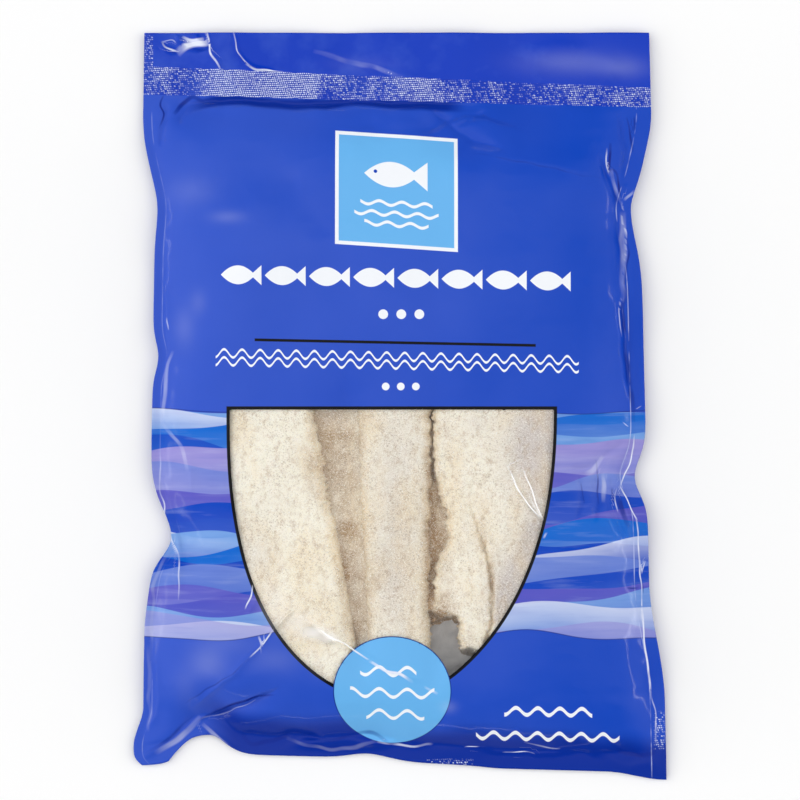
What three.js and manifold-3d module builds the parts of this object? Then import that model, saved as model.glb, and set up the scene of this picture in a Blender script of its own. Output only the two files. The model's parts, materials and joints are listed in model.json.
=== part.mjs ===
// A printed plastic pouch of salted pollock fillets, lying on its back with its clear window up.
// Millimetres, +Z up, +Y towards the pouch's top edge. The origin is on the table, under the
// middle of the pouch. The pouch is one solid, and the five fillets that show in its window are
// solids of their own, sunk in it as deep as they can be seen.
import * as THREE from "three";
import { mergeVertices } from "three/addons/utils/BufferGeometryUtils.js";
import Module from "manifold-3d";

const wasm = await Module();
wasm.setup();

// ---- Driving sizes -------------------------------------------------------------------------

const HEADER_WIDTH = 254; // a 10 inch pouch, measured where it is flat
const POUCH_LENGTH = 376; // a 15 inch pouch, less what its thickness takes up
const CORNERS = {
  top: { left: -128.8, right: HEADER_WIDTH - 128.8, y: POUCH_LENGTH / 2 },
  bottomLeft: { x: -134.4, y: -180.8 },
  bottomRight: { x: 134.1, y: -POUCH_LENGTH / 2 },
};

const FILM = 1.0; // both films of a seal, thicker than the real 0.2 mm so that it is a solid
const SIDE_SEAL = { left: 4, right: 7 };
const BOTTOM_SEAL = 10;
const TOP_SEAL = { low: [157, 150.4], high: [171.3, 160.2] }; // its two edges, at the left and right

const CONTENTS_HEIGHT = 21; // how far the fish lifts the front film above the seams
const RISE = { side: 52, bottom: 46, top: 84 }; // how far from a seam the film reaches that height
const RISE_POWER = 2.4;
const SEAM_HEIGHT = { middle: 7, end: 2.2, header: 4.6 }; // of the seams above the table
const BACK_ROUND = 30; // how far from a seam the back film meets the table

// Where the flat outline is drawn in by the contents. A dent is a bell, and a long dent a plateau.
const LEFT_DENTS = [
  { from: -161, to: 124, ramps: [10, 24], depth: 4.7 },
  { from: -100, to: 118, ramps: [14, 20], depth: 2.2 },
  { at: 98, depth: 1.2, reach: [14, 14] },
  { at: 25, depth: 2.8, reach: [10, 10] },
  { at: -66, depth: 10.6, reach: [13, 20] },
  { at: -184, depth: 7, reach: [6, 5] },
];
const RIGHT_DENTS = [
  { from: -118, to: 128, ramps: [30, 20], depth: 6.6 },
  { at: 99, depth: 4.8, reach: [22, 12] },
  { at: -35.5, depth: 6, reach: [12, 13] },
];
const BOTTOM_DENTS = [
  { from: -112, to: 18, ramps: [8, 34], depth: 7 },
  { from: 20, to: 118, ramps: [20, 15], depth: 3.4 },
  { at: -97, depth: 9.5, reach: [19, 12] },
  { at: -17, depth: 2.2, reach: [12, 12] },
];

// Folds of the film: a valley or a ridge (height above 0) along a line, softest at its ends.
const FOLDS = [
  { from: [-134, -67], to: [-96, -74], width: 9, height: -4.5 },
  { from: [-101, -160], to: [-58, -141], width: 7, height: -4.5 },
  { from: [-128, -176], to: [-100, -158], width: 7, height: 3 },
  { from: [-90, -132], to: [-108, -150], width: 9, height: 2.5 },
  { from: [126, 98], to: [104, 126], width: 7, height: -4 },
  { from: [118, 96], to: [112, 30], width: 6, height: -3 },
  { from: [126, -36], to: [104, -30], width: 8, height: -3.5 },
  { from: [-110, 151], to: [20, 143], width: 8, height: -3.2 },
  { from: [10, 140], to: [46, 126], width: 8, height: -3 },
  { from: [-20, -183], to: [30, -172], width: 8, height: -2.5 },
];

const GRID = { across: 42, body: 52, seal: 3, header: 4 };

// The window, drawn as two quarter superellipses under a straight top edge.
const WINDOW = {
  middle: -3,
  top: -1.5,
  depth: 145,
  left: { reach: 82, across: 2, down: 2.55 },
  right: { reach: 79.5, across: 1.6, down: 2.3 },
  steps: 22,
};
const BADGE = { x: -4, y: -142, radius: 29.5, steps: 40 }; // printed over the window's tip
const POCKET_FLOOR = 6;
const CLEARANCE = 0.3; // between a fillet and the pouch or another fillet

// Each fillet's two sides: x at the window's top edge, x level with the window's tip, and the
// dents between, to the right. Under ones lie lower, in the gaps between the others.
const RIGHT_OF_GAP = [
  { at: -62, depth: 6.5, reach: [18, 16] },
  { from: -160, to: -100, ramps: [5, 5], depth: 12.5 },
];
const FILLETS = [
  { name: "fillet_left", sink: 0.6, left: { top: -92, foot: -84 }, right: { top: -42.5, foot: -17 } },
  {
    name: "fillet_under_left",
    sink: 8.5,
    foot: -104,
    left: { top: -41.8, foot: -16.3 },
    right: { top: -22.6, foot: -15.9 },
  },
  { name: "fillet_middle", sink: 0.6, left: { top: -21.9, foot: -15.2 }, right: { top: 14.2, foot: 13.6 } },
  {
    name: "fillet_under_right",
    sink: 9,
    head: -40,
    foot: -90,
    left: { top: 14.9, foot: 14.3 },
    right: { top: 15.9, foot: 15.9, dents: RIGHT_OF_GAP },
  },
  {
    name: "fillet_right",
    sink: 0.6,
    foot: -123,
    left: { top: 16.6, foot: 16.6, dents: RIGHT_OF_GAP },
    right: { top: 88, foot: 60 },
  },
];
const FILLET_ROUND = { reach: 9, drop: 6 }; // how a fillet's side falls away from the film
const RAGGED = { depth: 0.9, every: 7, full: 14 }; // its torn side, less deep on a narrow fillet
const CLEFT = { from: [33, -40], to: [46, -112], width: 2.6, depth: 6 }; // the split right fillet
const FIBRES = { height: 0.25, every: 0.55 };
const FILLET_GRID = { across: 7, along: 26 };
const FILLET_SAG = { depth: 2.2, width: 8 }; // how the film dips between two fillets

// ---- Small curves --------------------------------------------------------------------------

const { lerp, clamp, smoothstep } = THREE.MathUtils;

// From 0 at a seam to 1 where the film is fully lifted, steepest at the seam.
const rise = (distance, reach) => 1 - (1 - clamp(distance / reach, 0, 1)) ** RISE_POWER;

const bell = (offset, [below, above]) => Math.exp(-((offset / (offset < 0 ? below : above)) ** 2));

const plateau = (s, { from, to, ramps }) =>
  smoothstep(s, from - ramps[0], from + ramps[0]) * (1 - smoothstep(s, to - ramps[1], to + ramps[1]));

const inset = (dents, s) =>
  dents.reduce((sum, d) => sum + d.depth * ("at" in d ? bell(s - d.at, d.reach) : plateau(s, d)), 0);

// ---- The outline, seen from above -----------------------------------------------------------

const alongSide = (bottom, y) => clamp((y - bottom.y) / (CORNERS.top.y - bottom.y), 0, 1);

const leftEdge = (y) =>
  lerp(CORNERS.bottomLeft.x, CORNERS.top.left, alongSide(CORNERS.bottomLeft, y)) + inset(LEFT_DENTS, y);

const rightEdge = (y) =>
  lerp(CORNERS.bottomRight.x, CORNERS.top.right, alongSide(CORNERS.bottomRight, y)) - inset(RIGHT_DENTS, y);

const shareAcross = (x) =>
  clamp((x - CORNERS.bottomLeft.x) / (CORNERS.bottomRight.x - CORNERS.bottomLeft.x), 0, 1);

const bottomEdge = (x) =>
  lerp(CORNERS.bottomLeft.y, CORNERS.bottomRight.y, shareAcross(x)) + inset(BOTTOM_DENTS, x);

const sealEdge = ([left, right], x) => lerp(left, right, shareAcross(x));

// ---- The films' heights ---------------------------------------------------------------------

// The height of the seams' sheet, which the header and the seals follow.
function seamHeight(x, y) {
  const end = clamp(Math.abs(y) / (POUCH_LENGTH / 2), 0, 1);
  const sides = lerp(SEAM_HEIGHT.middle, SEAM_HEIGHT.end, end ** 4) + 0.8 * Math.sin(y / 9 + x / 60);
  const waves = 1.6 * Math.sin(x / 15 + 0.6) + 0.8 * Math.sin(x / 6.4 + y / 20);
  const header = SEAM_HEIGHT.header + waves;
  return lerp(sides, header, smoothstep(y, 120, 160));
}

function foldHeight({ from, to, width, height }, x, y) {
  const along = new THREE.Vector2(to[0] - from[0], to[1] - from[1]);
  const point = new THREE.Vector2(x - from[0], y - from[1]);
  const t = point.dot(along) / along.lengthSq();
  const off = point.cross(along) / along.length();
  return height * Math.exp(-((off / width) ** 2)) * smoothstep(t, -0.15, 0.2) * (1 - smoothstep(t, 0.6, 1.1));
}

// x of a fillet's side at y.
const filletSide = ({ top, foot, dents = [] }, y) =>
  lerp(top, foot, (WINDOW.top - y) / WINDOW.depth) + inset(dents, y);

function sagBetweenFillets(x, y) {
  const gaps = [filletSide(FILLETS[1].right, y) - 4, filletSide(FILLETS[2].right, y) + 3];
  const sag = gaps.reduce((sum, gap) => sum + Math.exp(-(((x - gap) / FILLET_SAG.width) ** 2)), 0);
  return FILLET_SAG.depth * sag * smoothstep(y, -165, -120) * (1 - smoothstep(y, 40, 100));
}

// How full the pouch is at a point: 0 on its seals, and 1 over the contents.
const fullness = (x, y) =>
  rise(x - leftEdge(y) - SIDE_SEAL.left, RISE.side) *
  rise(rightEdge(y) - SIDE_SEAL.right - x, RISE.side) *
  rise(y - bottomEdge(x) - BOTTOM_SEAL, RISE.bottom) *
  rise(sealEdge(TOP_SEAL.low, x) - y, RISE.top);

function frontHeight(x, y) {
  const full = fullness(x, y);
  const uneven = 0.7 * Math.sin(x / 21 + 1) * Math.cos(y / 27) + 0.5 * Math.sin(x / 11 - y / 16);
  const folds = FOLDS.reduce((sum, fold) => sum + foldHeight(fold, x, y), 0);
  const body = (CONTENTS_HEIGHT + uneven) * full - sagBetweenFillets(x, y) * full + folds * full ** 0.35;
  return seamHeight(x, y) + FILM / 2 + Math.max(body, 0);
}

// The back film falls from the seam to the table, and past it so that a plane can cut it flat.
function backHeight(x, y) {
  const seam = seamHeight(x, y) - FILM / 2;
  const inside = Math.min(
    x - leftEdge(y) - SIDE_SEAL.left,
    rightEdge(y) - SIDE_SEAL.right - x,
    y - bottomEdge(x) - BOTTOM_SEAL,
    sealEdge(TOP_SEAL.low, x) - y,
  );
  return seam - (seam + FILM) * rise(inside, BACK_ROUND);
}

// ---- Solids ---------------------------------------------------------------------------------

const solids = {
  of(geometry) {
    const bare = new THREE.BufferGeometry().setAttribute("position", geometry.getAttribute("position"));
    if (geometry.index) bare.setIndex(geometry.index);
    const merged = mergeVertices(bare, 1e-4);
    const vertProperties = merged.attributes.position.array;
    return new wasm.Manifold(
      new wasm.Mesh({ numProp: 3, vertProperties, triVerts: new Uint32Array(merged.index.array) }),
    );
  },
  geometry(solid) {
    const mesh = solid.getMesh();
    const made = new THREE.BufferGeometry();
    made.setAttribute("position", new THREE.BufferAttribute(mesh.vertProperties, 3));
    made.setIndex(new THREE.BufferAttribute(mesh.triVerts, 1));
    made.computeVertexNormals();
    return made;
  },
};

// A closed solid between two height fields over one grid of points. points[row][column] is [x, y],
// with columns running to the right and rows away from the viewer.
function slab(points, top, bottom) {
  const rows = points.length;
  const columns = points[0].length;
  const position = [];
  for (const height of [top, bottom])
    for (const row of points) for (const [x, y] of row) position.push(x, y, height(x, y));
  const at = (row, column) => row * columns + column;
  const under = rows * columns;
  const index = [];
  const quad = (a, b, c, d) => index.push(a, b, c, a, c, d);
  for (let r = 0; r + 1 < rows; r++)
    for (let c = 0; c + 1 < columns; c++) {
      const [a, b, d, e] = [at(r, c), at(r, c + 1), at(r + 1, c + 1), at(r + 1, c)];
      quad(a, b, d, e);
      quad(under + a, under + e, under + d, under + b);
    }
  const rim = [];
  for (let c = 0; c + 1 < columns; c++) rim.push(at(0, c));
  for (let r = 0; r + 1 < rows; r++) rim.push(at(r, columns - 1));
  for (let c = columns - 1; c > 0; c--) rim.push(at(rows - 1, c));
  for (let r = rows - 1; r > 0; r--) rim.push(at(r, 0));
  rim.forEach((a, i) => {
    const b = rim[(i + 1) % rim.length];
    quad(under + a, under + b, b, a);
  });
  const made = new THREE.BufferGeometry();
  made.setAttribute("position", new THREE.Float32BufferAttribute(position, 3));
  made.setIndex(index);
  return solids.of(made);
}

// An upright prism on a flat outline.
function prism(outline, low, high) {
  const shape = new THREE.Shape(outline);
  const made = new THREE.ExtrudeGeometry(shape, { depth: high - low, bevelEnabled: false });
  return solids.of(made.translate(0, 0, low));
}

// ---- The window and its fillets ---------------------------------------------------------------

// One side of the window as points from its top corner to its tip, smaller by margin.
function windowSide({ reach, across, down }, sign, margin) {
  const points = [];
  for (let i = 0; i <= WINDOW.steps; i++) {
    const angle = (i / WINDOW.steps) * (Math.PI / 2);
    const x = (reach - margin) * Math.cos(angle) ** (2 / across);
    const y = (WINDOW.depth - margin) * Math.sin(angle) ** (2 / down);
    points.push(new THREE.Vector2(WINDOW.middle + sign * x, WINDOW.top - y));
  }
  return points;
}

function windowPrism(margin, low, high) {
  const left = windowSide(WINDOW.left, -1, margin);
  const right = windowSide(WINDOW.right, 1, margin).reverse();
  const outline = [...left, ...right.slice(1)];
  outline.forEach((p) => (p.y -= p.y > WINDOW.top - margin ? margin : 0));
  const badge = Array.from({ length: BADGE.steps }, (_, i) => {
    const angle = (i / BADGE.steps) * 2 * Math.PI;
    const radius = BADGE.radius + margin;
    return new THREE.Vector2(BADGE.x + radius * Math.cos(angle), BADGE.y + radius * Math.sin(angle));
  });
  const tip = prism([new THREE.Vector2(-60, -200), new THREE.Vector2(60, -200),
    new THREE.Vector2(60, BADGE.y), new THREE.Vector2(-60, BADGE.y)], low - 1, high + 1);
  return prism(outline, low, high).subtract(prism(badge, low - 1, high + 1)).subtract(tip);
}

// A fillet from its head to its foot, before the window's outline trims it.
function filletSolid({ left, right, sink, head = WINDOW.top + 4, foot = -150 }) {
  const points = [];
  for (let r = 0; r <= FILLET_GRID.along; r++) {
    const y = lerp(foot, head, r / FILLET_GRID.along);
    const sides = [filletSide(left, y), filletSide(right, y)];
    const deep = RAGGED.depth * Math.min((sides[1] - sides[0]) / RAGGED.full, 1);
    const torn = deep * (1 + Math.sin(y / 1.7) * Math.cos(y / RAGGED.every));
    const row = [];
    for (let c = 0; c <= FILLET_GRID.across; c++) {
      const spread = 0.5 - 0.5 * Math.cos((Math.PI * c) / FILLET_GRID.across);
      row.push([lerp(sides[0] + torn, sides[1] - torn, spread), y]);
    }
    points.push(row);
  }
  const top = (x, y) => {
    const near = Math.min(x - filletSide(left, y), filletSide(right, y) - x, y - foot, head - y);
    const gone = 1 - clamp(near / FILLET_ROUND.reach, 0, 1);
    const round = FILLET_ROUND.drop * (1 - Math.sqrt(1 - gone ** 2));
    const split = foldHeight({ ...CLEFT, height: -CLEFT.depth }, x, y);
    const fibres = FIBRES.height * Math.sin(x / FIBRES.every + y / 23);
    return frontHeight(x, y) - sink - round + split + fibres - FIBRES.height;
  };
  return slab(points, top, () => POCKET_FLOOR + CLEARANCE);
}

// ---- The pouch --------------------------------------------------------------------------------

function pouchPoints() {
  const rowShares = (from, to, count) => Array.from({ length: count }, (_, i) => lerp(from, to, i / count));
  const heights = [...rowShares(0, 1, GRID.body), ...rowShares(1, 2, GRID.seal), ...rowShares(2, 3, GRID.header), 3];
  return heights.map((h) =>
    Array.from({ length: GRID.across + 1 }, (_, c) => {
      const share = c / GRID.across;
      const x0 = lerp(CORNERS.bottomLeft.x, CORNERS.bottomRight.x, share);
      const lines = [bottomEdge(x0), sealEdge(TOP_SEAL.low, x0), sealEdge(TOP_SEAL.high, x0), CORNERS.top.y];
      const k = Math.min(Math.floor(h), 2);
      const y = lerp(lines[k], lines[k + 1], h - k);
      return [lerp(leftEdge(y), rightEdge(y), share), y];
    }),
  );
}

function pouchSolid() {
  const high = 60;
  const reach = 200;
  const aboveTable = prism([new THREE.Vector2(-reach, -reach), new THREE.Vector2(reach, -reach),
    new THREE.Vector2(reach, reach), new THREE.Vector2(-reach, reach)], 0, high);
  const bag = slab(pouchPoints(), frontHeight, backHeight).intersect(aboveTable);
  return bag.subtract(windowPrism(0, POCKET_FLOOR, high));
}

// ---- Materials and the object -----------------------------------------------------------------

const printedFilm = new THREE.MeshStandardMaterial({ color: 0x3357cc, roughness: 0.25, metalness: 0 });
const saltedFish = new THREE.MeshStandardMaterial({ color: 0xece2cf, roughness: 0.9, metalness: 0 });

const group = new THREE.Group();

function add(name, solid, material) {
  const mesh = new THREE.Mesh(solids.geometry(solid), material);
  mesh.name = name;
  group.add(mesh);
}

add("pouch", pouchSolid(), printedFilm);
for (const fillet of FILLETS) {
  const inWindow = windowPrism(CLEARANCE, POCKET_FLOOR + CLEARANCE, 60);
  add(fillet.name, filletSolid(fillet).intersect(inWindow), saltedFish);
}

export default group;
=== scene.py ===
"""A pouch of salted fish fillets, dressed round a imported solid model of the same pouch.

The pouch lies on its back. Its front film is printed, with a clear window over the fillets. The
functions of the film's shape work in millimetres, as the solid model's source does, and a mesh
turns them into metres. Y runs from the pouch's foot to its plain header.
"""

import json
import math

import bpy
import numpy as np
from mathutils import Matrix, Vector

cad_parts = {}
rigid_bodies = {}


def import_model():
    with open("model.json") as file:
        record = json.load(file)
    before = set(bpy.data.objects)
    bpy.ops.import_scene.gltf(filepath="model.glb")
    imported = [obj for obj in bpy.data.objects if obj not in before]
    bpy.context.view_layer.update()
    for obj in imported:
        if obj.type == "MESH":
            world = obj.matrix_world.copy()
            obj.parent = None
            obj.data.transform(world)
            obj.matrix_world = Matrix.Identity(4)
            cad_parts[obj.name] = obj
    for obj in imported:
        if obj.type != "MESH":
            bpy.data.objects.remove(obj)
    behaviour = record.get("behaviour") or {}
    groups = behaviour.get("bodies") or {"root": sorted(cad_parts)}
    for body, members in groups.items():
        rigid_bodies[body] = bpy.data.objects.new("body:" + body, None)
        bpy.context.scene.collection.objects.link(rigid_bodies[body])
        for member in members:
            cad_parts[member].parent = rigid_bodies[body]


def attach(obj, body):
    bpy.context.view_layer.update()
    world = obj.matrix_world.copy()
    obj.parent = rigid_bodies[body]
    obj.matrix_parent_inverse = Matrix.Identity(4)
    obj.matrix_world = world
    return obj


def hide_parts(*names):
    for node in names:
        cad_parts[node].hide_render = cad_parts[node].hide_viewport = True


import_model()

bl_info = {
    "name": "Salted fish pouch",
    "version": (1, 0, 0),
    "blender": (4, 5, 0),
    "location": "View3D > Sidebar > Pouch",
    "description": "Dresses a pouch of salted fish fillets with its film, print, fish and salt",
    "category": "Object",
}

BODY = "root"
MM = 0.001

# ---- Sizes of the solid model, in millimetres ---------------------------------------------------

HEADER_WIDTH = 254
POUCH_LENGTH = 376
TOP_Y = POUCH_LENGTH / 2
TOP_LEFT_X, TOP_RIGHT_X = -128.8, HEADER_WIDTH - 128.8
BOTTOM_LEFT = (-134.4, -180.8)
BOTTOM_RIGHT = (134.1, -TOP_Y)

SIDE_SEAL_LEFT, SIDE_SEAL_RIGHT = 4, 7
BOTTOM_SEAL = 10
TOP_SEAL_LOW, TOP_SEAL_HIGH = (157, 150.4), (171.3, 160.2)

CONTENTS_HEIGHT = 21
RISE_SIDE, RISE_BOTTOM, RISE_TOP = 52, 46, 84
RISE_POWER = 2.4
SEAM_MIDDLE, SEAM_END, SEAM_HEADER = 7, 2.2, 4.6
BACK_ROUND = 30
SOLID_FILM = 1.0
SHEET = 0.3  # both films where they are sealed together
KNURL = 1.05  # spacing of the dents pressed into the top seal
HEADER_STRIP = -124.4  # the header is pressed to the left of this x
HEADER_GLINT = 0.35
SEAL_STRETCH = (-128, 125)  # x of the seal's ends
# How much the pressed seal glints, by x
SEAL_GLINTS = [
    (-128, 0.45),
    (-104, 0.35),
    (-94, 0.75),
    (-70, 0.95),
    (-50, 0.85),
    (-38, 0.35),
    (-14, 0.4),
    (4, 0.65),
    (18, 0.7),
    (30, 0.25),
    (68, 0.15),
    (86, 0.4),
    (100, 0.35),
    (116, 0.55),
]

LEFT_DENTS = [
    {"from": -161, "to": 124, "ramps": (10, 24), "depth": 4.7},
    {"from": -100, "to": 118, "ramps": (14, 20), "depth": 2.2},
    {"at": 98, "depth": 1.2, "reach": (14, 14)},
    {"at": 25, "depth": 2.8, "reach": (10, 10)},
    {"at": -66, "depth": 10.6, "reach": (13, 20)},
    {"at": -184, "depth": 7, "reach": (6, 5)},
]
RIGHT_DENTS = [
    {"from": -118, "to": 128, "ramps": (30, 20), "depth": 6.6},
    {"at": 99, "depth": 4.8, "reach": (22, 12)},
    {"at": -35.5, "depth": 6, "reach": (12, 13)},
]
BOTTOM_DENTS = [
    {"from": -112, "to": 18, "ramps": (8, 34), "depth": 7},
    {"from": 20, "to": 118, "ramps": (20, 15), "depth": 3.4},
    {"at": -97, "depth": 9.5, "reach": (19, 12)},
    {"at": -17, "depth": 2.2, "reach": (12, 12)},
]
FOLDS = [
    {"from": (-134, -67), "to": (-96, -74), "width": 9, "height": -4.5},
    {"from": (-101, -160), "to": (-58, -141), "width": 7, "height": -4.5},
    {"from": (-128, -176), "to": (-100, -158), "width": 7, "height": 3},
    {"from": (-90, -132), "to": (-108, -150), "width": 9, "height": 2.5},
    {"from": (126, 98), "to": (104, 126), "width": 7, "height": -4},
    {"from": (118, 96), "to": (112, 30), "width": 6, "height": -3},
    {"from": (126, -36), "to": (104, -30), "width": 8, "height": -3.5},
    {"from": (-110, 151), "to": (20, 143), "width": 8, "height": -3.2},
    {"from": (10, 140), "to": (46, 126), "width": 8, "height": -3},
    {"from": (-20, -183), "to": (30, -172), "width": 8, "height": -2.5},
]

WINDOW_MIDDLE, WINDOW_TOP, WINDOW_DEPTH = -3, -1.5, 145
WINDOW_LEFT = {"reach": 82, "across": 2, "down": 2.55}
WINDOW_RIGHT = {"reach": 79.5, "across": 1.6, "down": 2.3}
WINDOW_CURVE = tuple(WINDOW_LEFT)  # the names of a side's reach and of its two powers
BADGE = {"x": -4, "y": -142, "across": 29.5, "along": 27.6}
WINDOW_LAP, WINDOW_INSET = 1.2, 0.12  # how far the clear film runs on under the print, and how deep
WINDOW_STRETCH = ((-88, 80), (-150, 1))  # x and y that the clear film's grid covers
LINER_STRETCH = ((-86, 80), (-149, 10))  # the same for the inner film
LINER_PITCH, LINER_DEPTH = 1.5, 0.9
POCKET_FLOOR = 6
FLESH_FLOOR = POCKET_FLOOR + 0.3

RIGHT_OF_GAP = [
    {"at": -62, "depth": 7.2, "reach": (14, 21)},
    {"from": -160, "to": -103, "ramps": (5, 4), "depth": 12.5},
]
TORN_FLAP = [*RIGHT_OF_GAP, {"at": -131, "depth": 4, "reach": (6, 7)}]
FILLET_SAG_DEPTH, FILLET_SAG_WIDTH = 2.2, 8
FILLET_SAGS = [(-26.6, -19.9), (17.2, 16.6)]  # x of each sag, level with the window's top and its tip

# ---- Small curves -------------------------------------------------------------------------------


def lerp(a, b, share):
    return a + (b - a) * share


def smoothstep(s, low, high):
    t = np.clip((s - low) / (high - low), 0, 1)
    return t * t * (3 - 2 * t)


def rise(distance, reach):
    """From 0 at a seam to 1 where the film is fully lifted, steepest at the seam."""
    return 1 - (1 - np.clip(distance / reach, 0, 1)) ** RISE_POWER


def dent(s, spec):
    if "at" in spec:
        offset = s - spec["at"]
        below, above = spec["reach"]
        return spec["depth"] * np.exp(-((offset / np.where(offset < 0, below, above)) ** 2))
    first, last = spec["ramps"]
    up = smoothstep(s, spec["from"] - first, spec["from"] + first)
    down = smoothstep(s, spec["to"] - last, spec["to"] + last)
    return spec["depth"] * up * (1 - down)


def inset(dents, s):
    return sum(dent(s, spec) for spec in dents)


def noise(x, y, seed):
    """Smooth noise between -1 and 1 that changes over about one unit."""
    size = 64
    lattice = np.random.default_rng(seed).uniform(-1, 1, (size, size))
    column, row = np.floor(x).astype(int), np.floor(y).astype(int)
    across, along = smoothstep(x - column, 0, 1), smoothstep(y - row, 0, 1)

    def corner(i, j):
        return lattice[(column + i) % size, (row + j) % size]

    low = lerp(corner(0, 0), corner(1, 0), across)
    return lerp(low, lerp(corner(0, 1), corner(1, 1), across), along)


def spots(places, x, y):
    """The sum of round soft spots: x, y, how far each reaches in x and y, and its strength."""
    total = np.zeros(np.broadcast(x, y).shape)
    for at_x, at_y, reach_x, reach_y, strength in places:
        total += strength * np.exp(-(((x - at_x) / reach_x) ** 2) - ((y - at_y) / reach_y) ** 2)
    return total


# ---- The pouch's outline and film ---------------------------------------------------------------


def left_edge(y):
    share = np.clip((y - BOTTOM_LEFT[1]) / (TOP_Y - BOTTOM_LEFT[1]), 0, 1)
    return lerp(BOTTOM_LEFT[0], TOP_LEFT_X, share) + inset(LEFT_DENTS, y)


def right_edge(y):
    share = np.clip((y - BOTTOM_RIGHT[1]) / (TOP_Y - BOTTOM_RIGHT[1]), 0, 1)
    return lerp(BOTTOM_RIGHT[0], TOP_RIGHT_X, share) - inset(RIGHT_DENTS, y)


def share_across(x):
    return np.clip((x - BOTTOM_LEFT[0]) / (BOTTOM_RIGHT[0] - BOTTOM_LEFT[0]), 0, 1)


def bottom_edge(x):
    return lerp(BOTTOM_LEFT[1], BOTTOM_RIGHT[1], share_across(x)) + inset(BOTTOM_DENTS, x)


def seal_edge(ends, x):
    return lerp(*ends, share_across(x))


def inside_seams(x, y):
    """The distances inwards from the left, right, bottom and top seals."""
    return (
        x - left_edge(y) - SIDE_SEAL_LEFT,
        right_edge(y) - SIDE_SEAL_RIGHT - x,
        y - bottom_edge(x) - BOTTOM_SEAL,
        seal_edge(TOP_SEAL_LOW, x) - y,
    )


def seam_height(x, y):
    """The height of the seams' sheet, which the header and the seals follow."""
    end = np.clip(np.abs(y) / TOP_Y, 0, 1)
    sides = lerp(SEAM_MIDDLE, SEAM_END, end**4) + 0.8 * np.sin(y / 9 + x / 60)
    waves = 1.6 * np.sin(x / 15 + 0.6) + 0.8 * np.sin(x / 6.4 + y / 20)
    return lerp(sides, SEAM_HEADER + waves, smoothstep(y, 120, 160))


def fold_height(fold, x, y):
    (x0, y0), (x1, y1) = fold["from"], fold["to"]
    dx, dy = x1 - x0, y1 - y0
    length = math.hypot(dx, dy)
    t = ((x - x0) * dx + (y - y0) * dy) / length**2
    off = ((x - x0) * dy - (y - y0) * dx) / length
    ends = smoothstep(t, -0.15, 0.2) * (1 - smoothstep(t, 0.6, 1.1))
    return fold["height"] * np.exp(-((off / fold["width"]) ** 2)) * ends


def fillet_side(side, y):
    straight = lerp(side["top"], side["foot"], (WINDOW_TOP - y) / WINDOW_DEPTH)
    return straight + inset(side.get("dents", []), y)


def sag_between_fillets(x, y):
    gaps = (lerp(*ends, (WINDOW_TOP - y) / WINDOW_DEPTH) for ends in FILLET_SAGS)
    sag = sum(np.exp(-(((x - gap) / FILLET_SAG_WIDTH) ** 2)) for gap in gaps)
    return FILLET_SAG_DEPTH * sag * smoothstep(y, -165, -120) * (1 - 0.8 * smoothstep(y, -20, 40))


def fullness(x, y):
    left, right, bottom, top = inside_seams(x, y)
    sides = rise(left, RISE_SIDE) * rise(right, RISE_SIDE)
    return sides * rise(bottom, RISE_BOTTOM) * rise(top, RISE_TOP)


def smooth_height(x, y):
    """The front film as the solid model has it, without its fine creases."""
    full = fullness(x, y)
    uneven = 0.7 * np.sin(x / 21 + 1) * np.cos(y / 27) + 0.5 * np.sin(x / 11 - y / 16)
    folds = sum(fold_height(fold, x, y) for fold in FOLDS)
    body = (CONTENTS_HEIGHT + uneven) * full - sag_between_fillets(x, y) * full
    body = np.maximum(body + folds * full**0.35, 0)
    return seam_height(x, y) + body


def back_height(x, y):
    seam = seam_height(x, y) - SHEET / 2
    inside = np.minimum.reduce(inside_seams(x, y))
    return np.maximum(seam - (seam + SOLID_FILM) * rise(inside, BACK_ROUND), 0)


# ---- Fine creases of the film -------------------------------------------------------------------

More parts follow.
